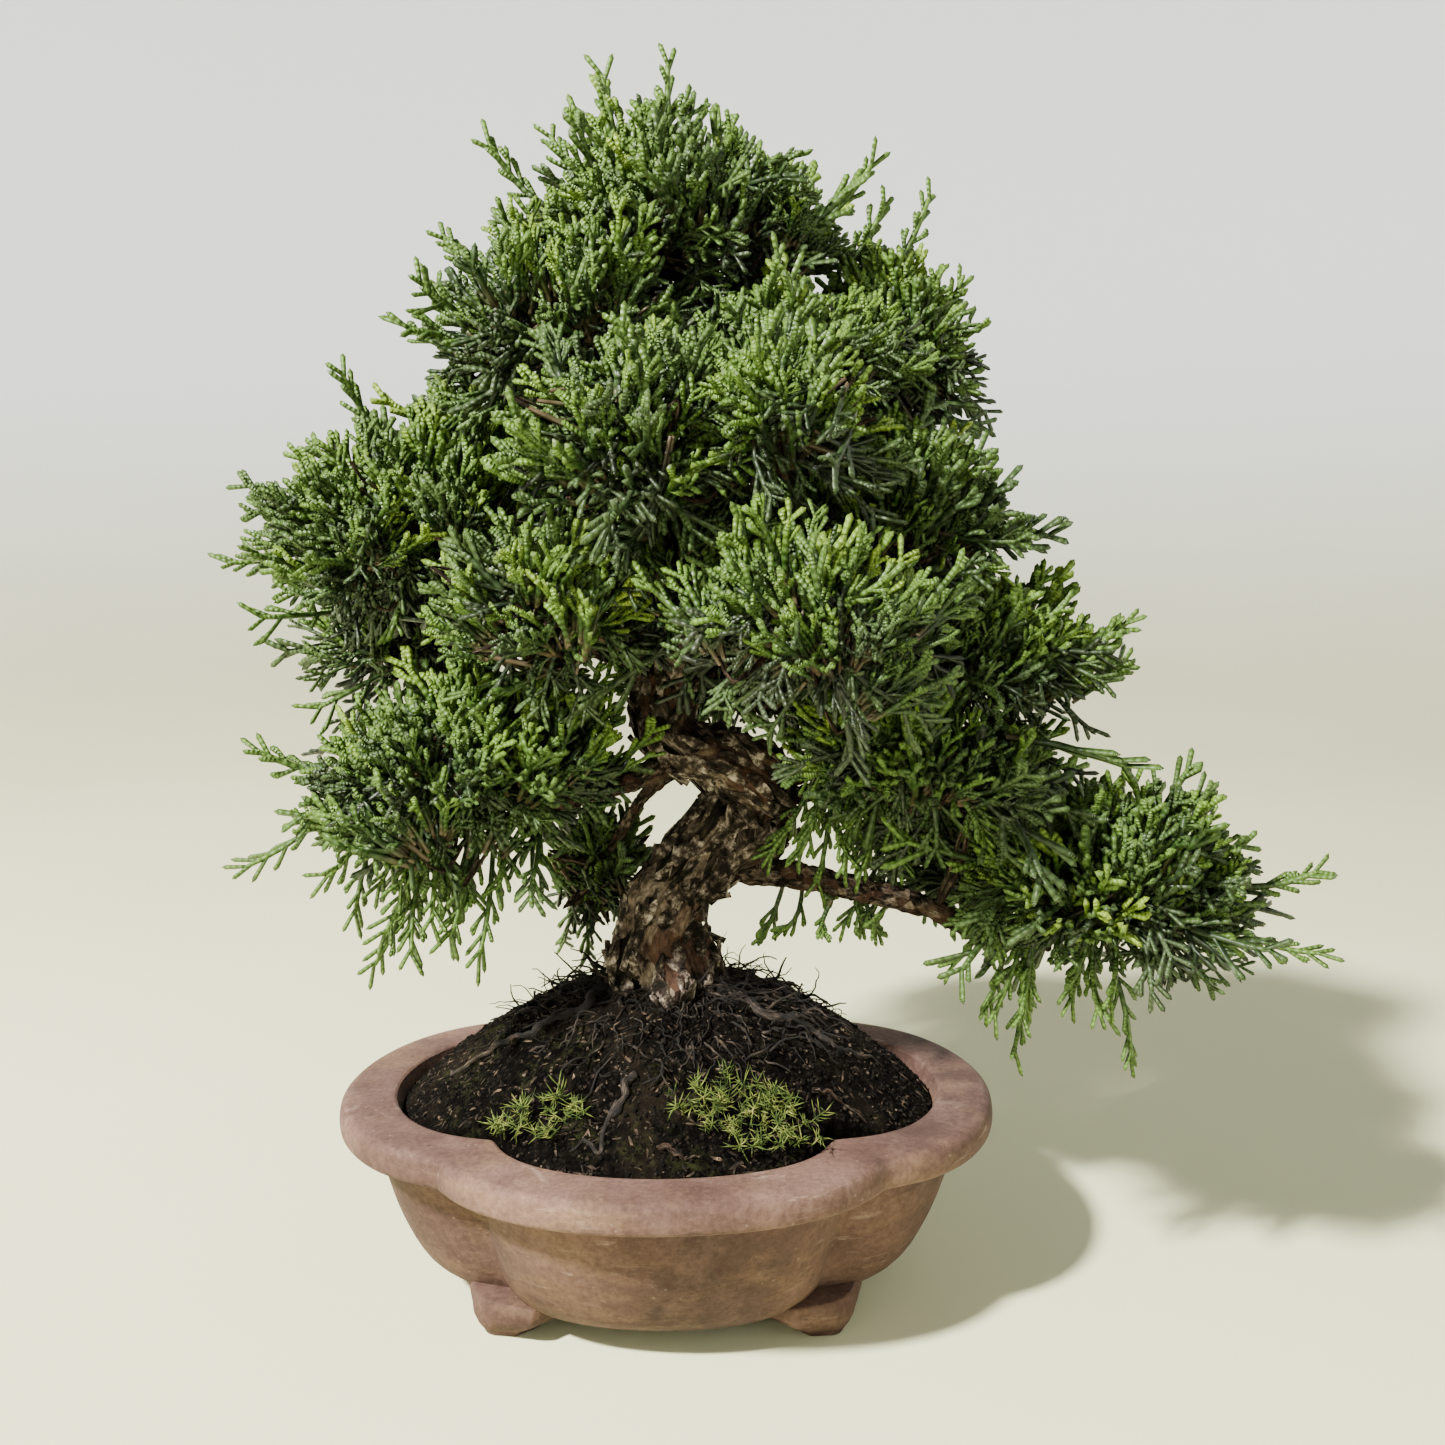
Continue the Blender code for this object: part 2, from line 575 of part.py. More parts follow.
def pad_shape(name, pad, seed, collection, extra=0.0):
    """A lumpy cushion of foliage with a flatter underside."""
    centre, half_sizes, tilt = pad
    shape = bmesh.new()
    bmesh.ops.create_uvsphere(shape, u_segments=PAD_SEGMENTS, v_segments=PAD_RINGS, radius=1)
    bmesh.ops.triangulate(shape, faces=shape.faces, quad_method="FIXED")
    sizes = Vector([half * MM * tree_scale() + extra for half in half_sizes])
    for vertex in shape.verts:
        way = vertex.co.normalized()
        lump = 1 + PAD_LUMP * noise.noise(way * 2.1 + Vector((seed * 7.3, 0, 0)))
        flat = PAD_UNDERSIDE if way.z < 0 else 1.0
        vertex.co = Vector((way.x, way.y, way.z * flat)) * sizes * lump
    place = Matrix.Translation(tree_point(*centre)) @ Matrix.Rotation(math.radians(-tilt), 4, "Y")
    bmesh.ops.transform(shape, matrix=place, verts=shape.verts)
    mesh = bpy.data.meshes.new(name)
    shape.to_mesh(mesh)
    shape.free()
    return new_object(name, mesh, collection)


def make_tree(collection, cutters):
    """Trunk, branches and pads. Each later piece is cut back where it meets an earlier one."""
    lower, upper = trunk_stations()
    trunk = tube("trunk", lower, collection, sides=TRUNK_SIDES)
    root_flare(trunk)
    upper_piece = mark_cutter(tube("trunk_upper_limb", upper, cutters, sides=LIMB_SIDES))
    boolean(trunk, upper_piece, "UNION")
    clearances = [mark_cutter(tube("clearance_lower_trunk", lower, cutters, sides=TRUNK_SIDES, extra=GAP)),
                  mark_cutter(tube("clearance_upper_trunk", upper, cutters, sides=LIMB_SIDES, extra=GAP))]
    root_flare(clearances[0])
    bake(trunk)
    finish(trunk, "bark")
    trunk_clearances = list(clearances)

    for name, route in BRANCHES.items():
        stations = wood_stations(route, 2)
        sides = TWIG_SIDES if route[0][3] < TWIG_LIMIT else BRANCH_SIDES
        branch = tube(name, stations, collection, sides=sides)
        for other in clearances:
            if surfaces_meet(branch, other):
                boolean(branch, other, "DIFFERENCE")
        bake(branch)
        finish(branch, "bark")
        clearances.append(mark_cutter(tube("clearance_" + name, stations, cutters, sides=sides, extra=GAP)))

    pad_clearances = []
    for seed, (name, outline) in enumerate(PADS.items()):
        pad = pad_shape(name, outline, seed, collection)
        for other in clearances + pad_clearances:
            if surfaces_meet(pad, other):
                boolean(pad, other, "DIFFERENCE")
        clearance = pad_shape("clearance_" + name, outline, seed, cutters, extra=PAD_GAP)
        pad_clearances.append(mark_cutter(clearance))
        bake(pad)
        finish(pad, "foliage")
    return trunk_clearances


def make_soil_and_litter(collection, cutters, trunk_clearances):
    """The mound, pressed in by all that stands in it or lies on it."""
    soil = make_soil(collection)
    pressed = [trunk_clearances[0]]
    pieces = [(name, route, radius, "root", 0.6) for name, (route, radius) in ROOTS.items()]
    pieces += [(name, route, radius, "bark", 0.3) for name, (route, radius) in SLIVERS.items()]
    for name, route, radius, kind, sunk in pieces:
        stations = on_soil(route, radius * MM, sunk)
        piece = tube(name, stations, collection, sides=TWIG_SIDES)
        if surfaces_meet(piece, trunk_clearances[0]):
            boolean(piece, trunk_clearances[0], "DIFFERENCE")
            bake(piece)
        finish(piece, kind)
        pressed.append(mark_cutter(tube("clearance_" + name, stations, cutters, sides=TWIG_SIDES, extra=GAP)))
    for name, ((x, y), half_sizes) in MOSS.items():
        for extra, home in ((0.0, collection), (GAP, cutters)):
            shape = bmesh.new()
            bmesh.ops.create_icosphere(shape, subdivisions=2, radius=1)
            place = mouth_point(x, y)
            base = Vector((*place, mound_height(*place)))
            sizes = Vector([half * MM + extra for half in half_sizes])
            for vertex in shape.verts:
                vertex.co = base + vertex.co * sizes
            label = name if home is collection else "clearance_" + name
            mesh = bpy.data.meshes.new(label)
            shape.to_mesh(mesh)
            shape.free()
            lump = new_object(label, mesh, home)
            if home is collection:
                finish(lump, "moss")
            else:
                pressed.append(mark_cutter(lump))
    for side, name in ((-1, "screen_room_left"), (1, "screen_room_right")):
        shape = bmesh.new()
        bmesh.ops.create_cube(shape, size=1)
        room = SCREEN_THICKNESS + 2 * CLIP_WIRE + 3 * GAP
        for vertex in shape.verts:
            vertex.co.x = vertex.co.x * (SCREEN_WIDTH + 2 * GAP) + side * HOLE_SPACING / 2
            vertex.co.y *= SCREEN_WIDTH + 2 * GAP
            vertex.co.z = screen_base() + (vertex.co.z + 0.5) * (room + GAP) - GAP
        mesh = bpy.data.meshes.new(name)
        shape.to_mesh(mesh)
        shape.free()
        pressed.append(mark_cutter(new_object(name, mesh, cutters)))
    pressed.append(mark_cutter(wire("clearance_tie_wire", tie_route(), TIE_WIRE, cutters, extra=GAP)))
    for cutter in pressed:
        boolean(soil, cutter, "DIFFERENCE")
    bake(soil)
    finish(soil, "soil")


def centre_on_footprint(collection):
    """Move every piece so that the origin is the bottom centre of the whole box."""
    bpy.context.view_layer.update()
    graph = bpy.context.evaluated_depsgraph_get()
    corners = []
    for item in collection.objects:
        shape = item.evaluated_get(graph)
        corners += [shape.matrix_world @ vertex.co for vertex in shape.data.vertices]
    low = Vector([min(corner[axis] for corner in corners) for axis in range(3)])
    high = Vector([max(corner[axis] for corner in corners) for axis in range(3)])
    shift = Vector(((low.x + high.x) / 2, (low.y + high.y) / 2, low.z))
    for group in bpy.context.scene.collection.children:
        for item in group.objects:
            item.location -= shift
    print("pot axis at", [round(value / MM, 3) for value in -shift])


def main():
    clear_scene()
    parts = new_collection("juniper_bonsai")
    cutters = new_collection("cutters")
    make_pot(parts, cutters)
    for side, word in ((-1, "left"), (1, "right")):
        centre_x = side * HOLE_SPACING / 2
        make_screen("drain_screen_" + word, centre_x, parts)
        finish(wire("screen_clip_" + word, clip_route(centre_x), CLIP_WIRE, parts), "wire")
    finish(wire("tie_down_wire", tie_route(), TIE_WIRE, parts), "wire")
    trunk_clearances = make_tree(parts, cutters)
    make_soil_and_litter(parts, cutters, trunk_clearances)
    centre_on_footprint(parts)


main()
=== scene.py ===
# %% [markdown]
# A juniper bonsai in a lobed clay pot
#
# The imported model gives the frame: where the pot, the soil, the trunk, each branch and each pad of
# foliage sit. This script keeps those places and makes the surfaces: fired clay, crumbly soil, flaking
# bark and many thousands of scale-leaf shoots. Everything is in metres, +Z up, front towards -Y.

# %% Load the frame
import math
import random

import bmesh
import bpy
from mathutils import Euler, Matrix, Vector, noise
from mathutils.bvhtree import BVHTree
from mathutils.kdtree import KDTree


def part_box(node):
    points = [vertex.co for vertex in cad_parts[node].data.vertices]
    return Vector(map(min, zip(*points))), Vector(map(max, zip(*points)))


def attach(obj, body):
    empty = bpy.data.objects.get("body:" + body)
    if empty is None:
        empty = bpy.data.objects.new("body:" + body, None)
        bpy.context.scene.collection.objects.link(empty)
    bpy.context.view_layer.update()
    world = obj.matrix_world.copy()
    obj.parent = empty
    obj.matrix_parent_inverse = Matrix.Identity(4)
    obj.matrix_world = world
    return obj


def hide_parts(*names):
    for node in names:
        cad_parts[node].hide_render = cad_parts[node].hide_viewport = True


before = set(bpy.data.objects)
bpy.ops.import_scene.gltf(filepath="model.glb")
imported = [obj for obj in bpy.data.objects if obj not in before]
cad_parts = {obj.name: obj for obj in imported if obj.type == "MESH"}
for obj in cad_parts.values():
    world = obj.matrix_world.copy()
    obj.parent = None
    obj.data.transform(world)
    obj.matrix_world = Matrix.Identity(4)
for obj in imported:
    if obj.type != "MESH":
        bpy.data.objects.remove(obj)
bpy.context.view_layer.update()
MM = 0.001

pot_low, pot_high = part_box("pot")
pot_axis = Vector(((pot_low.x + pot_high.x) / 2, (pot_low.y + pot_high.y) / 2, 0))
pot_width = pot_high.x - pot_low.x
pot_depth = pot_high.y - pot_low.y
pot_height = pot_high.z
print("pot", [round(v / MM, 1) for v in (pot_width, pot_depth, pot_height)], "axis", pot_axis)

# %% [markdown]
# Small helpers. A finished piece is a plain mesh whose object sits at the origin. Each one rides on the
# only body, stands for a node of the frame, and takes a material.


# %% Making and placing pieces
def new_piece(name, mesh):
    piece = bpy.data.objects.new(name, mesh)
    bpy.context.scene.collection.objects.link(piece)
    return piece


def mesh_from(name, points, faces, smooth=True):
    mesh = bpy.data.meshes.new(name)
    mesh.from_pydata(points, [], faces)
    mesh.validate()
    mesh.update()
    if smooth:
        mesh.shade_smooth()
    return mesh


def hand_over(piece, material, nodes=()):
    """Dress a finished piece and tie it to the frame."""
    if material is not None:
        piece.data.materials.clear()
        piece.data.materials.append(material)
    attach(piece, "root")
    if nodes:
        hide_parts(*nodes)
    piece.data.calc_loop_triangles()
    print(piece.name, len(piece.data.loop_triangles), "triangles")
    return piece


def merged_copy(node):
    """A CAD node's mesh as one closed skin."""
    shape = bmesh.new()
    shape.from_mesh(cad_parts[node].data)
    bmesh.ops.remove_doubles(shape, verts=shape.verts, dist=0.001 * MM)
    return shape


def mesh_of(shape, name):
    """Turn a bmesh into a mesh and free it."""
    mesh = bpy.data.meshes.new(name)
    shape.to_mesh(mesh)
    shape.free()
    return mesh


def finder_of(points):
    """A search tree that gives the nearest of some points."""
    finder = KDTree(len(points))
    for index, point in enumerate(points):
        finder.insert(point, index)
    finder.balance()
    return finder


# %% Faces of a stack of rings
def ring_faces(rows, steps, first=0):
    """Quads between rings of points that follow each other, from the point numbered first."""
    faces = []
    for row in range(rows - 1):
        for step in range(steps):
            low, after = first + row * steps, (step + 1) % steps
            faces.append((low + step, low + after, low + steps + after, low + steps + step))
    return faces


def fan_faces(hub, first, steps, turned):
    """A fan from a hub over the ring that starts at the point numbered first."""
    pairs = [(first + step, first + (step + 1) % steps) for step in range(steps)]
    return [(hub, after, before) if turned else (hub, before, after) for before, after in pairs]


# %% [markdown]
# A material is a node tree. `Finish` keeps the building of one short: it makes the shader, adds nodes
# and joins them, and has ready-made noise, colour ramps, mixes and bumps.


# %% Material helper
class Finish:
    def __init__(self, name, roughness=0.8, specular=0.3):
        self.material = bpy.data.materials.new(name)
        self.material.use_nodes = True
        self.tree = self.material.node_tree
        self.shader = self.tree.nodes["Principled BSDF"]
        self.shader.inputs["Roughness"].default_value = roughness
        self.shader.inputs["Specular IOR Level"].default_value = specular
        self.place = self.node("ShaderNodeTexCoord").outputs["Object"]

    def node(self, kind, **settings):
        made = self.tree.nodes.new(kind)
        for name, value in settings.items():
            setattr(made, name, value)
        return made

    def join(self, source, target):
        self.tree.links.new(source, target)

    def stretch(self, source, scale):
        mapping = self.node("ShaderNodeMapping")
        mapping.inputs["Scale"].default_value = scale
        self.join(source, mapping.inputs["Vector"])
        return mapping.outputs["Vector"]

    def noise(self, scale, detail=4, rough=0.55, source=None, warp=0.0):
        made = self.node("ShaderNodeTexNoise")
        made.inputs["Scale"].default_value = scale
        made.inputs["Detail"].default_value = detail
        made.inputs["Roughness"].default_value = rough
        made.inputs["Distortion"].default_value = warp
        self.join(source or self.place, made.inputs["Vector"])
        return made.outputs["Fac"]

    def cells(self, scale, source=None, output="Distance"):
        made = self.node("ShaderNodeTexVoronoi")
        made.inputs["Scale"].default_value = scale
        self.join(source or self.place, made.inputs["Vector"])
        return made.outputs[output]

    def ramp(self, source, stops):
        made = self.node("ShaderNodeValToRGB")
        ramp = made.color_ramp
        stops = sorted(stops)
        ramp.elements[0].position = stops[0][0]
        ramp.elements[-1].position = stops[-1][0]
        for place, _ in stops[1:-1]:
            ramp.elements.new(place)
        for element, (_, colour) in zip(ramp.elements, stops):
            element.color = (*colour, 1)
        self.join(source, made.inputs["Fac"])
        return made.outputs["Color"]

    def grey(self, source, low, high):
        """A soft step of a value between two levels."""
        return self.ramp(source, [(low, (0, 0, 0)), (high, (1, 1, 1))])

    def mix(self, factor, first, second, blend="MIX"):
        made = self.node("ShaderNodeMix", data_type="RGBA", blend_type=blend)
        for value, socket in ((factor, made.inputs[0]), (first, made.inputs[6]), (second, made.inputs[7])):
            if isinstance(value, (int, float)):
                socket.default_value = value
            elif isinstance(value, tuple):
                socket.default_value = (*value, 1)
            else:
                self.join(value, socket)
        return made.outputs[2]

    def maths(self, operation, first, second=0.0):
        made = self.node("ShaderNodeMath", operation=operation)
        for value, socket in zip((first, second), made.inputs):
            if isinstance(value, (int, float)):
                socket.default_value = value
            else:
                self.join(value, socket)
        return made.outputs[0]

    def product(self, first, second):
        return self.maths("MULTIPLY", first, second)

    def parts_of(self, vector):
        """The X, Y and Z of a vector."""
        made = self.node("ShaderNodeSeparateXYZ")
        self.join(vector, made.inputs["Vector"])
        return made.outputs

    def specks(self, scale, low, high, patch_scale, patch_low, patch_high):
        """Small round dots that show only where a slow noise lets them."""
        dots = self.maths("SUBTRACT", 1.0, self.grey(self.cells(scale), low, high))
        return self.product(dots, self.grey(self.noise(patch_scale, 2), patch_low, patch_high))

    def colour(self, source):
        self.join(source, self.shader.inputs["Base Color"])

    def roughness(self, source, low, high):
        made = self.node("ShaderNodeMapRange")
        made.inputs["To Min"].default_value = low
        made.inputs["To Max"].default_value = high
        self.join(source, made.inputs["Value"])
        self.join(made.outputs["Result"], self.shader.inputs["Roughness"])

    def bump(self, layers):
        """Stack bumps, given as (height, depth in metres)."""
        normal = None
        for height, depth in layers:
            made = self.node("ShaderNodeBump")
            made.inputs["Strength"].default_value = 1.0
            made.inputs["Distance"].default_value = depth
            self.join(height, made.inputs["Height"])
            if normal is not None:
                self.join(normal, made.inputs["Normal"])
            normal = made.outputs["Normal"]
        self.join(normal, self.shader.inputs["Normal"])


# %% [markdown]
# Geometry Nodes trees are built in the same spirit. `NodeTree` declares named inputs, adds nodes, and
# ends in Realize Instances and Set Material, so that what comes out is a plain mesh.


# %% Geometry Nodes helper
class NodeTree:
    KINDS = {"float": "NodeSocketFloat", "int": "NodeSocketInt", "collection": "NodeSocketCollection",
             "material": "NodeSocketMaterial"}

    def __init__(self, name, inputs):
        self.tree = bpy.data.node_groups.new(name, "GeometryNodeTree")
        face = self.tree.interface
        face.new_socket("Geometry", in_out="INPUT", socket_type="NodeSocketGeometry")
        for label, kind in inputs.items():
            face.new_socket(label, in_out="INPUT", socket_type=self.KINDS[kind])
        face.new_socket("Geometry", in_out="OUTPUT", socket_type="NodeSocketGeometry")
        self.given = self.tree.nodes.new("NodeGroupInput").outputs
        self.result = self.tree.nodes.new("NodeGroupOutput").inputs["Geometry"]

    def add(self, kind, inputs=None, **settings):
        """Add a node; its inputs are sockets to join or plain values."""
        made = self.tree.nodes.new(kind)
        for name, value in settings.items():
            setattr(made, name, value)
        for key, value in (inputs or {}).items():
            if isinstance(value, bpy.types.NodeSocket):
                self.tree.links.new(value, made.inputs[key])
            else:
                made.inputs[key].default_value = value
        return made

    def maths(self, operation, first, second):
        return self.add("ShaderNodeMath", {0: first, 1: second}, operation=operation).outputs[0]

    def chance(self, low, high, salt, kind="FLOAT"):
        """A random value in a range, told apart from the others by its salt."""
        seed = self.maths("ADD", self.given["Seed"], float(salt))
        least, most, output = {"FLOAT_VECTOR": (0, 1, 0), "FLOAT": (2, 3, 1)}[kind]
        made = self.add("FunctionNodeRandomValue", {"Seed": seed, least: low, most: high}, data_type=kind)
        return made.outputs[output]

    def scattered(self):
        """Random points on the faces that come in."""
        given = self.given
        wanted = {"Mesh": given["Geometry"], "Density": given["Density"], "Seed": given["Seed"]}
        return self.add("GeometryNodeDistributePointsOnFaces", wanted, distribute_method="RANDOM").outputs

    def set_out(self, points, shapes, rotation, size):
        """Put one shape of a collection on each point and make them all real."""
        source = self.add("GeometryNodeCollectionInfo", {"Collection": shapes, "Separate Children": True,
                                                         "Reset Children": True})
        placed = self.add("GeometryNodeInstanceOnPoints",
                          {"Points": points, "Instance": source.outputs[0], "Pick Instance": True,
                           "Rotation": rotation, "Scale": size})
        return self.add("GeometryNodeRealizeInstances", {"Geometry": placed.outputs[0]}).outputs[0]

    def finish(self, geometry, material):
        """End the tree: dress the geometry and hand it out."""
        dressed = self.add("GeometryNodeSetMaterial", {"Geometry": geometry, "Material": material})
        self.tree.links.new(dressed.outputs["Geometry"], self.result)


def grow(name, base, nodes, values):
    """Run a tree on a base mesh and keep the result as a plain piece; the base is used up."""
    modifier = base.modifiers.new(nodes.tree.name, "NODES")
    modifier.node_group = nodes.tree
    for item in nodes.tree.interface.items_tree:
        if item.in_out == "INPUT" and item.name in values:
            modifier[item.identifier] = values[item.name]
    base.update_tag()
    bpy.context.view_layer.update()
    graph = bpy.context.evaluated_depsgraph_get()
    mesh = bpy.data.meshes.new_from_object(base.evaluated_get(graph))
    mesh.name = name
    bpy.data.objects.remove(base, do_unlink=True)
    return new_piece(name, mesh)


# %% [markdown]
# The pot. It is one fired piece: a four-lobed oval bowl with a wide, rolled lip and four feet under its
# corners. A Screw modifier would turn a round pot, and a subdivided cage would blur the notches. Here the
# outline is a formula, an ellipse with a soft notch at each corner, and the bowl is a stack of such
# outlines. The frame's pot has few steps; this one has many, so its lip and lobes run smoothly.

# %% The pot's sizes, as in the frame
LIP_THICKNESS = 8.5 * MM
RIM_WIDTH = 16.7 * MM
LIP_OVERHANG = 10 * MM
BASE_INSET = 28.5 * MM
WALL = 6 * MM
FLOOR_THICKNESS = 6 * MM
FOOT_HEIGHT = 6 * MM
LOBE_NOTCH = 6.5 * MM
MOUTH_NOTCH = 1.35                      # how much deeper the notches are at the mouth
LOBE_ANGLE = math.radians(48)
LOBE_SPREAD = math.radians(11.5)
HOLE_RADIUS = 7 * MM
HOLE_SPACING = 52 * MM
POT_STEPS = 240


def lobed_ring(inset, height, notch, steps=POT_STEPS):
    """The pot's outline, moved inwards by inset, with its four notches."""
    ring = []
    for step in range(steps):
        angle = 2 * math.pi * step / steps
        point = Vector(((pot_width / 2 - inset) * math.cos(angle),
                        (pot_depth / 2 - inset) * math.sin(angle), 0))
        quarter = math.atan2(abs(math.sin(angle)), abs(math.cos(angle)))
        dip = notch * 1.15 * math.exp(-abs((quarter - LOBE_ANGLE) / LOBE_SPREAD) ** 1.25)
        point -= point.normalized() * dip
        ring.append(point + pot_axis + Vector((0, 0, height)))
    return ring


def inner_inset(height):
    floor = FOOT_HEIGHT + FLOOR_THICKNESS
    share = min(1, max(0, (height - floor) / (pot_height - floor)))
    base = BASE_INSET + WALL
    return base + (RIM_WIDTH - base) * share ** 0.6


def eased(profile, steps):
    """Catmull-Rom points through the few points of a profile."""
    route = [Vector(point) for point in profile]
    route = [2 * route[0] - route[1]] + route + [2 * route[-1] - route[-2]]
    result = []
    for index in range(1, len(route) - 2):
        before, start, end, after = route[index - 1:index + 3]
        for step in range(steps):
            t = step / steps
            result.append(0.5 * (2 * start + (end - before) * t
                                 + (2 * before - 5 * start + 4 * end - after) * t ** 2
                                 + (3 * start - before - 3 * end + after) * t ** 3))
    return result + [route[-2]]


# %% Turn the profile into a bowl
def pot_profile():
    """(inset, height, share of the notch) from under the floor, over the lip and down inside."""
    top, base = pot_height, FOOT_HEIGHT
    lip_low = top - LIP_THICKNESS
    drop = lip_low - base
    body = LIP_OVERHANG
    lean = BASE_INSET - body
    outside = [(BASE_INSET + 3 * MM, base, 0.7), (BASE_INSET + 0.4 * MM, base + 1.0 * MM, 0.9),
               (body + lean * 0.66, base + drop * 0.15, 1.15), (body + lean * 0.34, base + drop * 0.42, 1.4),
               (body + lean * 0.12, base + drop * 0.72, 1.45), (body - 0.2 * MM, lip_low - 1.2 * MM, 1.35),
               (body - 0.9 * MM, lip_low - 0.5 * MM, 1.35), (body - 4 * MM, lip_low - 0.6 * MM, 1.1),
               (2.0 * MM, lip_low - 0.3 * MM, 0.95), (0.5 * MM, lip_low + 0.6 * MM, 0.95),
               (0.1 * MM, lip_low + 2.2 * MM, 0.95), (0.1 * MM, lip_low + LIP_THICKNESS * 0.5, 0.95),
               (0.6 * MM, top - 2.0 * MM, 0.95), (1.9 * MM, top - 0.7 * MM, 0.95),
               (3.8 * MM, top - 0.25 * MM, 1.0), (9 * MM, top - 0.1 * MM, 1.15),
               (RIM_WIDTH - 2.2 * MM, top - 0.15 * MM, 1.3), (RIM_WIDTH - 0.8 * MM, top - 0.6 * MM, 1.35),
               (RIM_WIDTH - 0.3 * MM, top - 1.8 * MM, MOUTH_NOTCH)]
    floor = base + FLOOR_THICKNESS
    inside = []
    for share in (0.75, 0.45, 0.2, 0.05):
        height = floor + (top - floor) * share
        inside.append((inner_inset(height), height, MOUTH_NOTCH * share ** 0.25))
    inside.append((BASE_INSET + WALL + 4 * MM, floor, 0.6))
    return eased(outside + inside, 4)


def close_rings(name, rings):
    """Quads between rings, and a fan over the first and the last."""
    steps = len(rings[0])
    points = [point for ring in rings for point in ring]
    faces = ring_faces(len(rings), steps)
    for row, turned in ((0, True), (len(rings) - 1, False)):
        points.append(sum(rings[row], Vector()) / steps)
        faces += fan_faces(len(points) - 1, row * steps, steps, turned)
    return mesh_from(name, points, faces)


def wobble(point):
    """The slow unevenness of a hand-pressed pot."""
    place = point / (38 * MM)
    return Vector((noise.noise(place), noise.noise(place + Vector((9, 0, 0))), 0)) * 0.55 * MM


rings = []
for inset, height, notch in pot_profile():
    ring = lobed_ring(inset, height, LOBE_NOTCH * notch)
    rings.append([point + wobble(point) for point in ring])
pot = new_piece("clay_pot", close_rings("clay_pot", rings))
print("pot rings", len(rings))


# %% [markdown]
# The feet are small brackets: wide where they meet the bowl, drawn in towards the table, with a curl at
# each side. Each is a small stack of outlines with rounded edges. It could stay a loose solid under the
# bowl, but a fired pot shows no seam there, so a Boolean joins it. Then the two drain holes are cut.


# %% Feet and drain holes
def foot_shape(name, corner):
    """One bracket foot: pointed in plan, drawn in towards the table, its top hidden in the bowl."""
    half, reach = 13.5 * MM, 7.6 * MM
    plan = [(-reach, -half), (reach * 0.35, -half), (reach * 1.05, -half * 0.3), (reach * 1.15, 0),
            (reach * 1.05, half * 0.3), (reach * 0.35, half), (-reach, half)]
    rings = []
    for height, wide, deep in ((0, 0.50, 0.80), (1.4 * MM, 0.53, 0.86), (3.0 * MM, 0.74, 1.0),
                               (5.2 * MM, 1.0, 1.08), (7.5 * MM, 1.14, 1.06), (11 * MM, 1.1, 0.96)):
        rings.append([Vector((x * deep, y * wide, height)) for x, y in plan])
    foot = new_piece(name, close_rings(name, rings))
    turn = Matrix.Rotation(math.atan2(corner.y, corner.x), 4, "Z")
    foot.data.transform(Matrix.Translation(corner + pot_axis) @ turn)
    soften = foot.modifiers.new("soften", "BEVEL")
    soften.width = 0.9 * MM
    soften.segments = 2
    soften.angle_limit = math.radians(24)
    return foot


def join_shape(target, tool, operation):
    modifier = target.modifiers.new(tool.name, "BOOLEAN")
    modifier.object = tool
    modifier.operation = operation
    modifier.solver = "EXACT"


corner_inset = BASE_INSET + 3 * MM
corner_x = (pot_width / 2 - corner_inset) * math.cos(LOBE_ANGLE)
corner_y = (pot_depth / 2 - corner_inset) * math.sin(LOBE_ANGLE)
tools = []
for side_x in (-1, 1):
    for side_y in (-1, 1):
        foot = foot_shape("foot_tool", Vector((side_x * corner_x, side_y * corner_y, 0)))
        join_shape(pot, foot, "UNION")
        tools.append(foot)
for side in (-1, 1):
    shape = bmesh.new()
    bmesh.ops.create_cone(shape, cap_ends=True, segments=48, radius1=HOLE_RADIUS, radius2=HOLE_RADIUS,
                          depth=4 * FLOOR_THICKNESS)
    bmesh.ops.translate(shape, vec=pot_axis + Vector((side * HOLE_SPACING / 2, 0, FOOT_HEIGHT)),
                        verts=shape.verts)
    bore = new_piece("bore_tool", mesh_of(shape, "bore_tool"))
    join_shape(pot, bore, "DIFFERENCE")
    tools.append(bore)


def settle(piece, tools=()):
    """Apply a piece's modifiers and throw the tools away."""
    bpy.context.view_layer.update()
    graph = bpy.context.evaluated_depsgraph_get()
    mesh = bpy.data.meshes.new_from_object(piece.evaluated_get(graph))
    piece.modifiers.clear()
    piece.data = mesh
    for tool in tools:
        bpy.data.objects.remove(tool, do_unlink=True)


settle(pot, tools)
pot.data.shade_smooth()
pot.data.set_sharp_from_angle(angle=math.radians(50))

# %% [markdown]
# Unglazed clay is matt and slightly grainy, brown with a mauve cast. Years of watering leave a pale
# bloom near the lip, rubbed scratches on the body and ochre smears. The body under the lip is painted
# darker, as shade from the lip. A painted picture would need a flat layout of the pot; noise at three
# scales needs none and has no seam. The scratches are noise stretched along the pot's side.

# %% Fired clay
clay = Finish("fired_clay", roughness=0.75, specular=0.18)
blotch = clay.noise(26, 6, 0.62)
tone = clay.ramp(blotch, [(0.36, (0.058, 0.032, 0.026)), (0.5, (0.098, 0.055, 0.044)),
                          (0.64, (0.150, 0.088, 0.069))])
ochre = clay.grey(clay.noise(40, 7, 0.72, clay.stretch(clay.place, (0.6, 0.6, 1.8))), 0.50, 0.72)
tone = clay.mix(clay.product(ochre, 0.65), tone, (0.235, 0.148, 0.086))
bloom = clay.product(clay.grey(clay.noise(70, 5, 0.7), 0.52, 0.8), 0.55)
tone = clay.mix(bloom, tone, (0.215, 0.137, 0.113))
scratch = clay.grey(clay.noise(1.0, 4, 0.6, clay.stretch(clay.place, (70, 70, 420)), warp=0.6), 0.60, 0.70)
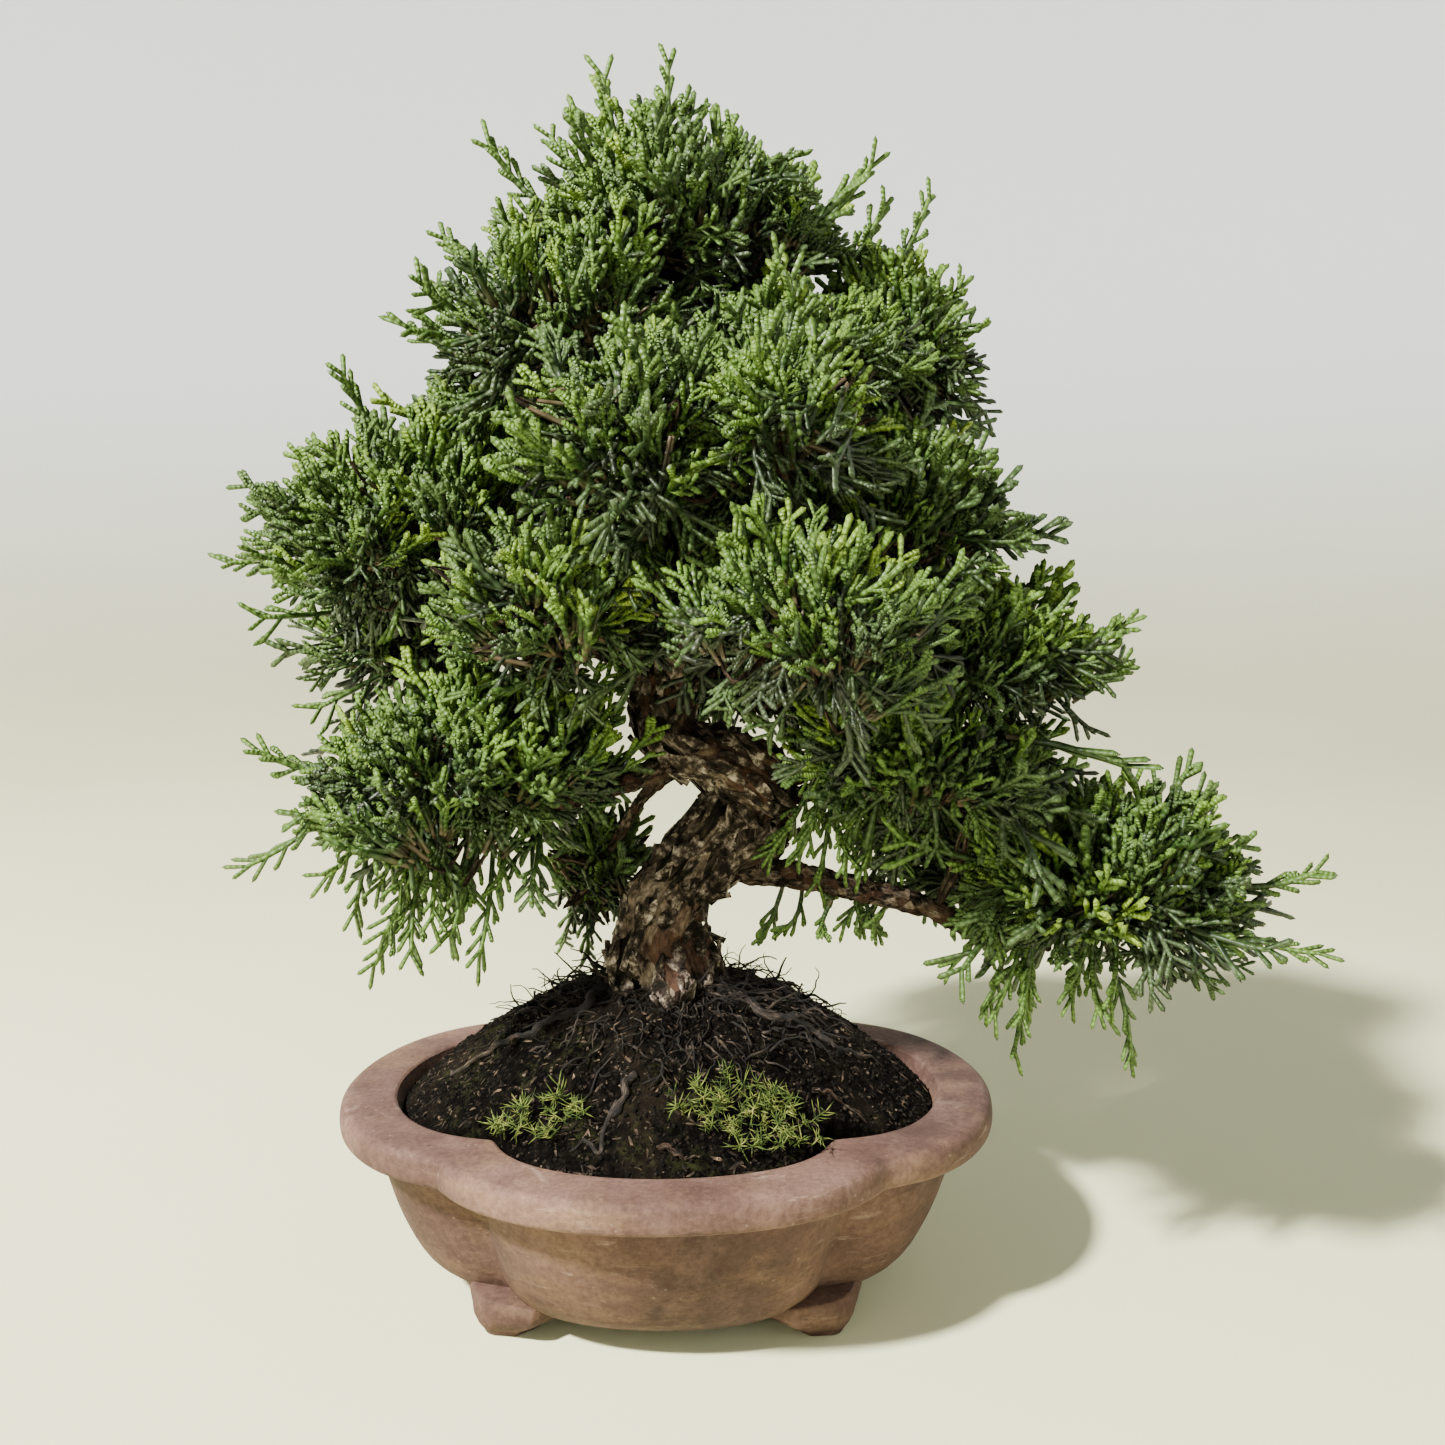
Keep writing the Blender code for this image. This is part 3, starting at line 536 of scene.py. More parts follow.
faint = clay.product(scratch, clay.grey(clay.noise(30, 2), 0.46, 0.64))
tone = clay.mix(clay.product(faint, 0.6), tone, (0.36, 0.26, 0.205))
speck = clay.specks(330, 0.10, 0.17, 130, 0.54, 0.60)
tone = clay.mix(clay.product(speck, 0.2), tone, (0.45, 0.36, 0.29))
pit = clay.specks(120, 0.045, 0.075, 50, 0.58, 0.62)
tone = clay.mix(pit, tone, (0.05, 0.03, 0.022))
fine = clay.noise(620, 3, 0.7)
tone = clay.mix(0.8, tone, clay.ramp(fine, [(0.36, (0.62, 0.60, 0.58)), (0.62, (1.0, 1.0, 1.0))]), "MULTIPLY")
# Painted shade: the body under the lip is darkened, as the lip's shadow falls on it.
painted_shade_below_lip = clay.ramp(clay.parts_of(clay.place)["Z"], [(pot_height - 14 * MM, (0.70, 0.68, 0.66)),
                                                       (pot_height - 8 * MM, (1, 1, 1))])
clay.colour(clay.mix(1.0, tone, painted_shade_below_lip, "MULTIPLY"))
clay.roughness(blotch, 0.66, 0.9)
clay.bump([(clay.noise(45, 3), 0.7 * MM), (fine, 0.20 * MM), (scratch, 0.10 * MM)])
hand_over(pot, clay.material, ["pot"])

# %% [markdown]
# The soil. It fills the bowl to just under the rim and climbs in a dome to the trunk. A displaced plane
# would have to be cut to the pot's mouth. This skin is made of rings that follow the mouth instead, so it
# meets the clay without a gap. Noise pushes crumbs in and out; loose grit is scattered on it afterwards.

# %% The mound
SOIL_BELOW_RIM = 4.5 * MM
MOUND_HEIGHT = 36.5 * MM
soil_edge = pot_height - SOIL_BELOW_RIM
mound_top = soil_edge + MOUND_HEIGHT


def mound_height(x, y):
    """Height of the frame's dome at a place given from the pot's axis."""
    inset = inner_inset(soil_edge)
    reach = math.hypot(x / (pot_width / 2 - inset), y / (pot_depth / 2 - inset))
    return soil_edge + MOUND_HEIGHT * max(0, 1 - reach ** 2)


def crumbs(x, y):
    place = Vector((x, y, 0))
    lumps = noise.fractal(place / (14 * MM), 0.8, 2.1, 4) * 1.5
    clods = abs(noise.noise(place / (4.2 * MM))) * 1.3
    fine = noise.noise(place / (1.5 * MM)) * 0.5
    return (lumps + clods + fine) * MM


def ground(x, y):
    """The visible surface, lumps and all."""
    return mound_height(x, y) + crumbs(x, y)


SOIL_STEPS = 320
SOIL_ROWS = 96
edge_ring = lobed_ring(inner_inset(soil_edge) - 0.3 * MM, soil_edge, LOBE_NOTCH * MOUTH_NOTCH, SOIL_STEPS)
low_ring = lobed_ring(inner_inset(soil_edge - 4 * MM) + 1 * MM, soil_edge - 4 * MM, LOBE_NOTCH * MOUTH_NOTCH,
                      SOIL_STEPS)
floor_ring = lobed_ring(BASE_INSET + WALL + 6 * MM, FOOT_HEIGHT + FLOOR_THICKNESS + 4 * MM,
                        LOBE_NOTCH * 0.6, SOIL_STEPS)
rings = [floor_ring, low_ring]
for row in range(SOIL_ROWS):
    share = 1 - row / SOIL_ROWS
    ring = []
    for point in edge_ring:
        x, y = (point.x - pot_axis.x) * share, (point.y - pot_axis.y) * share
        settled = min(1, (1 - share) * 9)
        ring.append(Vector((pot_axis.x + x, pot_axis.y + y, mound_height(x, y) + crumbs(x, y) * settled)))
    rings.append(ring)
soil = new_piece("soil_mound", close_rings("soil_mound", rings))

# %% [markdown]
# Moist soil is nearly black. Its crumbs catch a little light where they are dry, and a green film grows
# on them here and there. Sand grains are pale dots. All of it is noise on the place in the soil, so no
# two spots look the same.

# %% Dark crumbly soil
earth = Finish("dark_soil", roughness=1.0, specular=0.03)
grain = earth.noise(380, 5, 0.72)
earth_tone = earth.ramp(grain, [(0.42, (0.0008, 0.0007, 0.0006)), (0.56, (0.003, 0.0024, 0.0019)),
                                (0.74, (0.014, 0.0105, 0.0078))])
dry = earth.grey(earth.noise(38, 4, 0.6), 0.50, 0.70)
earth_tone = earth.mix(earth.product(dry, 0.3), earth_tone, (0.030, 0.022, 0.015))
fleck = earth.specks(520, 0.14, 0.22, 190, 0.60, 0.65)
mossy = earth.product(earth.grey(earth.noise(55, 4, 0.7), 0.52, 0.66), earth.grey(grain, 0.46, 0.6))
earth_tone = earth.mix(earth.product(mossy, 0.45), earth_tone, (0.024, 0.030, 0.009))
earth.colour(earth.mix(earth.product(fleck, 0.6), earth_tone, (0.16, 0.13, 0.09)))
earth.bump([(grain, 0.9 * MM), (earth.noise(1500, 2), 0.3 * MM)])
hand_over(soil, earth.material, ["soil"])

# %% [markdown]
# Grit, bark crumbs and dead needles lie all over the mound. Each is a shape of a few faces, and a
# Geometry Nodes tree drops thousands of them on the soil's skin at random sizes and turns.


# %% Small shapes to scatter
def kept_apart(name, meshes):
    """A collection of source shapes that isn't shown itself."""
    collection = bpy.data.collections.new(name)
    for index, mesh in enumerate(meshes):
        collection.objects.link(bpy.data.objects.new(f"{name}_{index}", mesh))
    return collection


def pebble(seed):
    random.seed(seed)
    shape = bmesh.new()
    bmesh.ops.create_icosphere(shape, subdivisions=1, radius=0.5)
    squash = Vector((1, random.uniform(0.6, 0.95), random.uniform(0.45, 0.8)))
    for vertex in shape.verts:
        vertex.co = vertex.co * squash * random.uniform(0.75, 1.2)
    return mesh_of(shape, "pebble")


def splinter(seed):
    random.seed(seed)
    width = random.uniform(0.10, 0.2)
    points = []
    for end, share in ((-1, 0.4), (-0.3, 1), (0.5, 0.8), (1, 0.2)):
        sway = random.uniform(-0.1, 0.1)
        for x, z in ((-1, -0.4), (1, -0.4), (1, 0.4), (-1, 0.4)):
            points.append((x * width * share + sway, end * 0.9, z * width * share))
    faces = [(3, 2, 1, 0), (12, 13, 14, 15)] + ring_faces(4, 4)
    return mesh_from("splinter", points, faces, smooth=False)


pebbles = kept_apart("pebbles", [pebble(seed) for seed in range(4)])
splinters = kept_apart("splinters", [splinter(seed) for seed in range(4)])


# %% A tree that litters a surface
def litter_tree():
    nodes = NodeTree("litter", {"Shapes": "collection", "Density": "float", "Smallest": "float",
                                "Largest": "float", "Upright": "float", "Seed": "int",
                                "Material": "material"})
    given = nodes.given
    spread = nodes.scattered()
    turn = nodes.chance((-1.1, -1.1, 0), (1.1, 1.1, 6.28), 1, "FLOAT_VECTOR")
    size = nodes.chance(given["Smallest"], given["Largest"], 2)
    tilted = nodes.add("FunctionNodeAlignRotationToVector",
                       {"Rotation": turn, "Vector": spread["Normal"], "Factor": given["Upright"]}, axis="Z")
    real = nodes.set_out(spread["Points"], given["Shapes"], tilted.outputs[0], size)
    nodes.finish(real, given["Material"])
    return nodes


litter = litter_tree()


def soil_patch():
    """The open part of the mound's skin, to scatter on: nothing under the lip or inside the trunk."""
    shape = bmesh.new()
    shape.from_mesh(soil.data)
    low = [face for face in shape.faces
           if face.calc_center_median().z < soil_edge + 0.3 * MM or face.normal.z < 0.1]
    bmesh.ops.delete(shape, geom=low, context="FACES")
    return new_piece("soil_patch", mesh_of(shape, "soil_patch"))


# %% Grit and needles on the soil
grit = Finish("grit", roughness=0.95, specular=0.08)
grit_tone = grit.ramp(grit.noise(520, 1), [(0.3, (0.0015, 0.0012, 0.001)), (0.54, (0.005, 0.004, 0.003)),
                                           (0.67, (0.018, 0.014, 0.010)), (0.80, (0.13, 0.10, 0.075))])
grit.colour(grit_tone)
grit.bump([(grit.noise(1800, 2), 0.15 * MM)])
stones = grow("soil_grit", soil_patch(), litter,
              {"Shapes": pebbles, "Density": 340000.0, "Smallest": 0.4 * MM, "Largest": 1.8 * MM,
               "Upright": 0.5, "Seed": 4, "Material": grit.material})
hand_over(stones, None)

chaff = Finish("dead_needles", roughness=0.85, specular=0.15)
chaff.colour(chaff.ramp(chaff.noise(260, 1), [(0.38, (0.008, 0.006, 0.004)), (0.52, (0.026, 0.018, 0.012)),
                                              (0.68, (0.09, 0.062, 0.038)), (0.82, (0.30, 0.22, 0.15))]))
needles = grow("soil_needles", soil_patch(), litter,
               {"Shapes": splinters, "Density": 60000.0, "Smallest": 0.8 * MM, "Largest": 2.4 * MM,
                "Upright": 0.75, "Seed": 9, "Material": chaff.material})
hand_over(needles, None)

# %% [markdown]
# Wood. Trunk and branches are tubes that follow the frame's routes, with old bark on them: long fibrous
# strips that run with the grain, part in dark cracks and flake at their edges. The tube's own
# coordinates (round it and along it) drive the relief, so the strips follow every bend. The two limbs of
# the trunk are then fused into one skin.

# %% The routes of the wood, from the mound's top: (x, y, height, radius) in mm
LOWER_TRUNK = [(-1, 0, -12, 17), (-1.5, 0, 0, 15.5), (-3, 0, 14, 12.5), (3.5, 1, 26, 11),
               (12, 3, 35.5, 11.5), (20, 4, 43.5, 12.5), (26, 3, 50.5, 12), (29, 1, 57, 8)]
UPPER_TRUNK = [(31, 2, 52, 8.5), (24, -3, 59, 10), (16, -8, 64.5, 9), (7, -10, 67, 8),
               (0, -8, 73.5, 8), (-1.3, -4, 86, 8), (1.5, 0, 104, 7.2), (6.6, 4, 132, 6),
               (9.5, 6, 160, 5), (9, 8, 194, 3.6), (7, 8, 222, 2.4)]
BRANCHES = {
    "branch_far_right": [(16, 3, 36, 5), (24, 2, 31, 4.6), (38, -2, 30, 4), (52, -8, 28, 3.6),
                         (72, -14, 24, 3.2), (93, -21, 17, 2.8), (112, -24, 20, 2.4), (126, -24, 26, 2)],
    "branch_right_middle": [(27, 2, 55, 4), (41, -1, 61, 3.4), (53, -5, 65, 3), (65, -10, 72, 2.6),
                            (73, -13, 84, 2.2), (77, -14, 98, 1.8)],
    "branch_right_back_low": [(26, 6, 47, 3), (41, 11, 52, 2.6), (55, 12, 51, 2.3), (72, 13, 46, 1.9),
                              (90, 15, 42, 1.5)],
    "branch_left_low": [(4, -9.5, 67, 3.8), (-8, -12, 60, 3.2), (-18, -15, 57, 2.8), (-34, -22, 55, 2.4),
                        (-50, -24, 63, 1.8)],
    "branch_back_hanging": [(8, -9, 66, 2.6), (2, 3, 60, 2.2), (-8, 15, 50, 1.9), (-16, 29, 36, 1.6),
                            (-22, 39, 26, 1.2)],
    "branch_left_middle": [(-1, -4, 88, 3.8), (-14, -8, 97, 3.2), (-32, -12, 111, 2.8),
                           (-52, -12, 123, 2.3), (-68, -12, 131, 1.8)],
    "branch_left_back": [(-1, -3, 91, 3), (-15, 7, 93, 2.6), (-38, 20, 98, 2.2), (-60, 30, 101, 1.8),
                         (-78, 34, 101, 1.5)],
    "branch_centre_left": [(0, -2, 97, 2.8), (-8, -18, 99, 2.3), (-17, -34, 104, 1.9), (-24, -44, 109, 1.4)],
    "branch_front_centre": [(1.5, 0, 106, 3), (10, -22, 103, 2.5), (22, -48, 102, 2), (34, -72, 106, 1.5)],
    "branch_back_low": [(-1, -3, 83, 3), (6, 15, 84, 2.5), (14, 38, 87, 2), (21, 60, 89, 1.5)],
    "branch_left_shoulder": [(8.5, 5.5, 146, 2.5), (-6, 8, 148, 2.1), (-22, 8, 153, 1.7),
                             (-38, 6, 158, 1.3)],
    "branch_back_right": [(4, 2, 117, 2.9), (21, 20, 120, 2.4), (42, 42, 126, 2), (58, 58, 131, 1.4)],
    "branch_centre_right": [(5, 3, 123, 3), (22, -6, 126, 2.5), (38, -15, 130, 2), (52, -20, 133, 1.5)],
    "branch_front_left": [(6, 3.5, 127, 2.6), (2, -18, 132, 2.1), (-3, -40, 142, 1.7), (-6, -58, 149, 1.3)],
    "branch_back_left": [(6, 4, 132, 2.8), (-8, 22, 134, 2.3), (-24, 42, 140, 1.9), (-36, 56, 145, 1.4)],
    "branch_front_right": [(8, 5, 140, 2.6), (13, -14, 143, 2.1), (21, -38, 149, 1.7), (28, -56, 154, 1.3)],
    "branch_upper_right": [(9, 6, 149, 2.8), (26, 10, 158, 2.3), (46, 15, 170, 1.8), (64, 18, 183, 1.3)],
    "branch_upper_left": [(9, 6, 155, 2.8), (-4, 0, 165, 2.3), (-16, -8, 178, 1.9), (-26, -12, 189, 1.4)],
    "branch_centre_upper": [(9.3, 7, 164, 2.4), (16, -6, 166, 2), (24, -15, 169, 1.6), (31, -22, 173, 1.3)],
    "branch_back_upper": [(9, 7, 172, 2.6), (13, 22, 176, 2.2), (17, 34, 180, 1.8), (19, 46, 184, 1.3)],
}


def tree_point(x, y, height):
    return Vector((pot_axis.x + x * MM, pot_axis.y + y * MM, mound_top + height * MM))


def wood_route(route, steps):
    """Smooth stations (point, radius) in metres."""
    stations = []
    for x, y, height, radius in eased(route, steps):
        stations.append((tree_point(x, y, height), radius * MM))
    return stations


# %% Bark relief
PLATE = Vector((1.25, 1.25, 0.085))


def bark_relief(place, radius):
    """How far the bark stands out at a place (round, round, along) of the wood, in metres."""
    warp = noise.noise(Vector((place.x * 1.7, place.y * 1.7, place.z * 0.14))) * 0.45
    cell = Vector((place.x * PLATE.x + warp, place.y * PLATE.y - warp, place.z * PLATE.z + warp * 0.6))
    reach, centres = noise.voronoi(cell)
    crack = min(1.0, (reach[1] - reach[0]) * 3.2)
    plate = noise.noise(centres[0] * 3.1)
    fibre = noise.noise(Vector((place.x * 5.5, place.y * 5.5, place.z * 0.22)))
    swell = noise.noise(Vector((place.x * 0.9, place.y * 0.9, place.z * 0.05)))
    relief = (crack - 0.8) * 0.24 + plate * 0.15 * crack + fibre * 0.05 + swell * 0.17
    return radius * relief


def wood_tube(stations, sides, relief=True):
    """Points, faces and grain coordinates of a closed tube of bark."""
    points, grains = [], []
    along = 0.0
    side = stations[0][0].cross(Vector((0.3, 0.9, 0.1))).normalized()
    count = len(stations)
    for index, (centre, radius) in enumerate(stations):
        before = stations[max(0, index - 1)][0]
        after = stations[min(count - 1, index + 1)][0]
        way = (after - before).normalized()
        side = (side - way * side.dot(way)).normalized()
        other = way.cross(side)
        if index:
            along += (centre - stations[index - 1][0]).length
        for step in range(sides):
            angle = 2 * math.pi * step / sides
            grain = Vector((math.cos(angle), math.sin(angle), along / MM * 9 * MM / max(radius, 3 * MM)))
            size = radius + (bark_relief(grain, radius) if relief else 0)
            points.append(centre + (side * math.cos(angle) + other * math.sin(angle)) * size)
            grains.append(grain)
    faces = ring_faces(count, sides)
    for row, turned in ((0, True), (count - 1, False)):
        points.append(stations[row][0].copy())
        grains.append(grains[row * sides])
        faces += fan_faces(len(points) - 1, row * sides, sides, turned)
    return points, faces, grains


def store_grain(mesh, grains):
    layer = mesh.attributes.new("grain", "FLOAT_VECTOR", "POINT")
    for value, grain in zip(layer.data, grains):
        value.vector = grain


def tube_piece(name, tubes):
    """One piece of several tubes, with the grain kept for its material."""
    points, faces, grains = [], [], []
    for more_points, more_faces, more_grains in tubes:
        faces += [tuple(corner + len(points) for corner in face) for face in more_faces]
        points += more_points
        grains += more_grains
    piece = new_piece(name, mesh_from(name, points, faces))
    store_grain(piece.data, grains)
    return piece


# %% [markdown]
# At its foot the trunk spreads into buttresses that run out towards the surface roots. The bend and the
# top overlap as two tubes. A Boolean would leave a crease between them, so a voxel remesh makes them one
# skin, and each point of it takes its grain from the nearest point of the tubes.


# %% The trunk
def flare(points):
    """Swell the foot of the trunk into five buttresses."""
    foot = mound_top
    span = 26 * MM
    centre = tree_point(*LOWER_TRUNK[1][:3])
    for point in points:
        rise = point.z - foot
        if rise < span:
            share = (1 - max(0, rise) / span) ** 2
            out = point - Vector((centre.x, centre.y, point.z))
            lobes = 0.5 + 0.5 * math.cos(5 * math.atan2(out.y, out.x) + 0.6)
            point += out.normalized() * (share * lobes * 3.5 * MM)


SKIN_GRAIN = 0.62 * MM
lower = wood_tube(wood_route(LOWER_TRUNK, 34), 150)
flare(lower[0])
upper = wood_tube(wood_route(UPPER_TRUNK, 30), 110)
points = lower[0] + upper[0]
faces = lower[1] + [tuple(corner + len(lower[0]) for corner in face) for face in upper[1]]
trunk = new_piece("trunk_bark", mesh_from("trunk_bark", points, faces))
fuse = trunk.modifiers.new("fuse", "REMESH")
fuse.mode = "VOXEL"
fuse.voxel_size = SKIN_GRAIN
settle(trunk)
nearest = finder_of(points)
grains = lower[2] + upper[2]
store_grain(trunk.data, [grains[nearest.find(vertex.co)[1]] for vertex in trunk.data.vertices])
trunk.data.shade_smooth()

# %% [markdown]
# Old bark is grey-brown plates with black cracks between them. Some plates have worn to tan and some are
# freshly rust-red. The pattern is read from the grain coordinates, not from the place in space, so it
# runs along every bend of the wood.

# %% Old bark
bark = Finish("old_bark", roughness=0.92, specular=0.10)
grain_place = bark.node("ShaderNodeAttribute", attribute_name="grain").outputs["Vector"]
strip = bark.noise(1.0, 5, 0.65, bark.stretch(grain_place, (2.6, 2.6, 0.11)), warp=0.8)
bark_tone = bark.ramp(strip, [(0.42, (0.003, 0.0024, 0.002)), (0.50, (0.018, 0.013, 0.010)),
                              (0.57, (0.075, 0.056, 0.044)), (0.68, (0.20, 0.160, 0.128))])
plates = bark.cells(1.0, bark.stretch(grain_place, tuple(PLATE * 1.1)), output="Color")
plate_shade = bark.node("ShaderNodeSeparateColor")
bark.join(plates, plate_shade.inputs["Color"])
tan = bark.product(bark.grey(plate_shade.outputs["Red"], 0.62, 0.85),
                   bark.grey(bark.noise(120, 4, 0.7), 0.40, 0.62))
bark_tone = bark.mix(bark.product(tan, 0.75), bark_tone, (0.36, 0.275, 0.20))
rust = bark.product(bark.grey(plate_shade.outputs["Green"], 0.6, 0.9), 0.6)
bark_tone = bark.mix(rust, bark_tone, (0.10, 0.052, 0.034))
fibre = bark.noise(1.0, 3, 0.6, bark.stretch(grain_place, (9, 9, 0.35)))
bark_tone = bark.mix(0.75, bark_tone, bark.ramp(fibre, [(0.36, (0.16, 0.14, 0.13)), (0.6, (1, 1, 1))]),
                     "MULTIPLY")
bark.colour(bark_tone)
bark.bump([(strip, 1.5 * MM), (fibre, 0.5 * MM), (bark.noise(800, 3), 0.15 * MM)])
hand_over(trunk, bark.material, ["trunk"])

# %% [markdown]
# Old juniper bark peels in long thin plates whose edges lift. A few hundred of them are laid on the
# trunk: a Geometry Nodes tree turns each one flat to the wood and in line with its grain.


# %% Loose plates of bark
def flake_mesh(seed):
    """A thin plate along Y with ragged ends and lifted edges."""
    random.seed(seed)
    points, faces = [], []
    stops = (-1.0, -0.6, -0.1, 0.4, 0.8, 1.05)
    for index, along in enumerate(stops):
        wide = (0.10, 0.24, 0.30, 0.27, 0.2, 0.06)[index] * random.uniform(0.75, 1.2)
        lift = 0.05 + 0.16 * max(0, abs(along) - 0.4) ** 1.5
        sway = random.uniform(-0.05, 0.05)
        for x, z in ((-1, 0.05 + lift), (0, 0.13 + lift * 0.5), (1, 0.05 + lift), (0, -0.10)):
            points.append((x * wide + sway, along, z))
    for row in range(len(stops) - 1):
        for side in range(4):
            after = (side + 1) % 4
            faces.append((row * 4 + side, row * 4 + 4 + side, row * 4 + 4 + after, row * 4 + after))
    last = 4 * (len(stops) - 1)
    faces += [(0, 1, 2, 3), (last + 3, last + 2, last + 1, last)]
    return mesh_from("flake", points, faces, smooth=False)


def flake_tree():
    nodes = NodeTree("bark_flakes", {"Shapes": "collection", "Density": "float", "Smallest": "float",
                                     "Largest": "float", "Seed": "int", "Material": "material"})
    given = nodes.given
    spread = nodes.scattered()
    grain_way = nodes.add("GeometryNodeInputNamedAttribute", {"Name": "grain_way"}, data_type="FLOAT_VECTOR")
    flat = nodes.add("FunctionNodeAlignRotationToVector", {"Vector": spread["Normal"]}, axis="Z")
    stray = nodes.chance((-0.25, -0.25, -0.25), (0.25, 0.25, 0.25), 1, "FLOAT_VECTOR")
    sway = nodes.add("ShaderNodeVectorMath", {0: grain_way.outputs[0], 1: stray}, operation="ADD")
    along = nodes.add("FunctionNodeAlignRotationToVector",
                      {"Rotation": flat.outputs[0], "Vector": sway.outputs[0]}, axis="Y", pivot_axis="Z")
    size = nodes.chance(given["Smallest"], given["Largest"], 2)
    real = nodes.set_out(spread["Points"], given["Shapes"], along.outputs[0], size)
    nodes.finish(real, given["Material"])
    return nodes


trunk_line = [point for point, radius in wood_route(LOWER_TRUNK, 12) + wood_route(UPPER_TRUNK, 12)]
line_finder = finder_of(trunk_line)
flake_base = new_piece("flake_base", trunk.data.copy())
way_layer = flake_base.data.attributes.new("grain_way", "FLOAT_VECTOR", "POINT")
for vertex, value in zip(flake_base.data.vertices, way_layer.data):
    index = min(line_finder.find(vertex.co)[1], len(trunk_line) - 2)
    value.vector = (trunk_line[index + 1] - trunk_line[index]).normalized()
flakes = kept_apart("flakes", [flake_mesh(seed) for seed in range(6)])
loose_bark = Finish("loose_bark", roughness=0.9, specular=0.12)
flake_tone = loose_bark.noise(230, 4, 0.7)
loose_bark.colour(loose_bark.ramp(flake_tone, [(0.42, (0.006, 0.0045, 0.0035)), (0.51, (0.030, 0.022, 0.017)),
                                               (0.58, (0.13, 0.105, 0.083)), (0.67, (0.38, 0.32, 0.26))]))
loose_bark.bump([(loose_bark.noise(900, 3), 0.3 * MM)])
plates_on_trunk = grow("bark_plates", flake_base, flake_tree(),
                       {"Shapes": flakes, "Density": 46000.0, "Smallest": 2.2 * MM, "Largest": 6.4 * MM,
                        "Seed": 5, "Material": loose_bark.material})
hand_over(plates_on_trunk, None)

# %% [markdown]
# Each branch gets the same bark on a finer tube. Its foot is sunk a little into the trunk, which hides
# its end; a branch could be fused like the trunk, but it stays its own piece, as a grower would wire it.

# %% The branches
for name, route in BRANCHES.items():
    branch = tube_piece(name + "_bark", [wood_tube(wood_route(route, 14), 28)])
    hand_over(branch, bark.material, [name])

# %% [markdown]
# Surface roots snake over the mound, half sunk, and hundreds of hair-thin rootlets stick out of it,
# most of them close to the trunk. The thick ones are single tubes that follow the soil's own height. The
# rootlets could be hair, which the export drops, so each is a thin tube along a short random walk.

# %% Roots on the mound
ROOTS = {
    "surface_root_left": ([(-12, -6), (-24, -13), (-36, -18), (-50, -18), (-61, -15)], 1.5),
    "surface_root_front": ([(-7, -43), (-11, -50), (-16, -55), (-23, -57)], 1.1),
    "surface_root_right": ([(13, -7), (26, -13), (40, -17), (53, -15), (62, -10)], 1.4),
    "surface_root_right_back": ([(12, 8), (26, 12), (40, 17), (53, 24)], 1.2),
}
LITTER = {
    "bark_sliver": ([(0, -59), (4, -61), (9, -60.5)], 1.0),
    "fallen_twig": ([(40, -38), (47, -36), (55, -37)], 0.8),
}


def noise_sink(share, seed):
    """A root dips under here and there."""
    return 1 + 1.3 * noise.noise(Vector((share * 6, seed * 3.7, 5)))


def lying_stations(route, radius, sunk, sway, seed):
    """Stations along the mound, with a little wander in radius and path."""
    stations = []
    stops = eased([(x * MM, y * MM) for x, y in route], 12)
    for index, (x, y) in enumerate(stops):
        share = index / (len(stops) - 1)
        x += noise.noise(Vector((seed, share * 5, 0))) * sway
        y += noise.noise(Vector((seed, share * 5, 7))) * sway
        size = radius * (1.1 - 0.75 * share) * (1 + 0.45 * noise.noise(Vector((share * 16, seed, 2))))
        height = ground(x, y) + size * (1 - sunk) * noise_sink(share, seed)
        stations.append((pot_axis + Vector((x, y, height)), size))
    return stations


rootwood = Finish("root_skin", roughness=0.8, specular=0.25)
root_grain = rootwood.node("ShaderNodeAttribute", attribute_name="grain").outputs["Vector"]
root_streak = rootwood.noise(1.0, 4, 0.6, rootwood.stretch(root_grain, (3, 3, 0.1)))
root_tone = rootwood.ramp(root_streak, [(0.3, (0.008, 0.006, 0.004)), (0.5, (0.040, 0.028, 0.020)),
                                        (0.7, (0.24, 0.185, 0.14))])
dirt = rootwood.grey(rootwood.noise(90, 4, 0.7), 0.36, 0.52)
rootwood.colour(rootwood.mix(rootwood.product(dirt, 0.95), root_tone, (0.004, 0.003, 0.0025)))
rootwood.bump([(root_streak, 0.5 * MM)])

for seed, (name, (route, radius)) in enumerate({**ROOTS, **LITTER}.items()):
    loose = name in LITTER
    sunk, sway = (0.0, 0.8 * MM) if loose else (0.6, 6 * MM)
    root = tube_piece(name + "_skin", [wood_tube(lying_stations(route, radius * MM, sunk, sway, seed), 14)])
    hand_over(root, bark.material if loose else rootwood.material, [name])


# %% Rootlets
def rootlet(seed):
    """One hair root: a thin tube of a few links that leaves the soil and bends over."""
    random.seed(seed)
    angle = random.uniform(0, 2 * math.pi)
    reach = 13 + 36 * random.random() ** 1.7
    x, y = reach * math.cos(angle), reach * 0.85 * math.sin(angle)
    point = pot_axis + Vector((x * MM, y * MM, ground(x * MM, y * MM) - 0.6 * MM))
    way = Vector((math.cos(angle + random.uniform(-1, 1)), math.sin(angle + random.uniform(-1, 1)),
                  random.uniform(0.0, 0.6))).normalized()
    thick = random.uniform(0.16, 0.5) * MM
    links = random.randint(4, 8)
    stations = [(point, thick)]
    for link in range(links):
        way += Vector([random.uniform(-0.5, 0.5) for _ in range(3)]) - Vector((0, 0, 0.18))
        way.normalize()
        point = point + way * random.uniform(1.4, 2.6) * MM
        low = ground(point.x - pot_axis.x, point.y - pot_axis.y) + 0.1 * MM
        point.z = max(point.z, low)
        stations.append((point, thick * (1 - 0.7 * link / links)))
    return stations


ROOTLETS = 620
rootlets = tube_piece("rootlets", [wood_tube(rootlet(seed), 4, relief=False) for seed in range(ROOTLETS)])
hand_over(rootlets, rootwood.material)

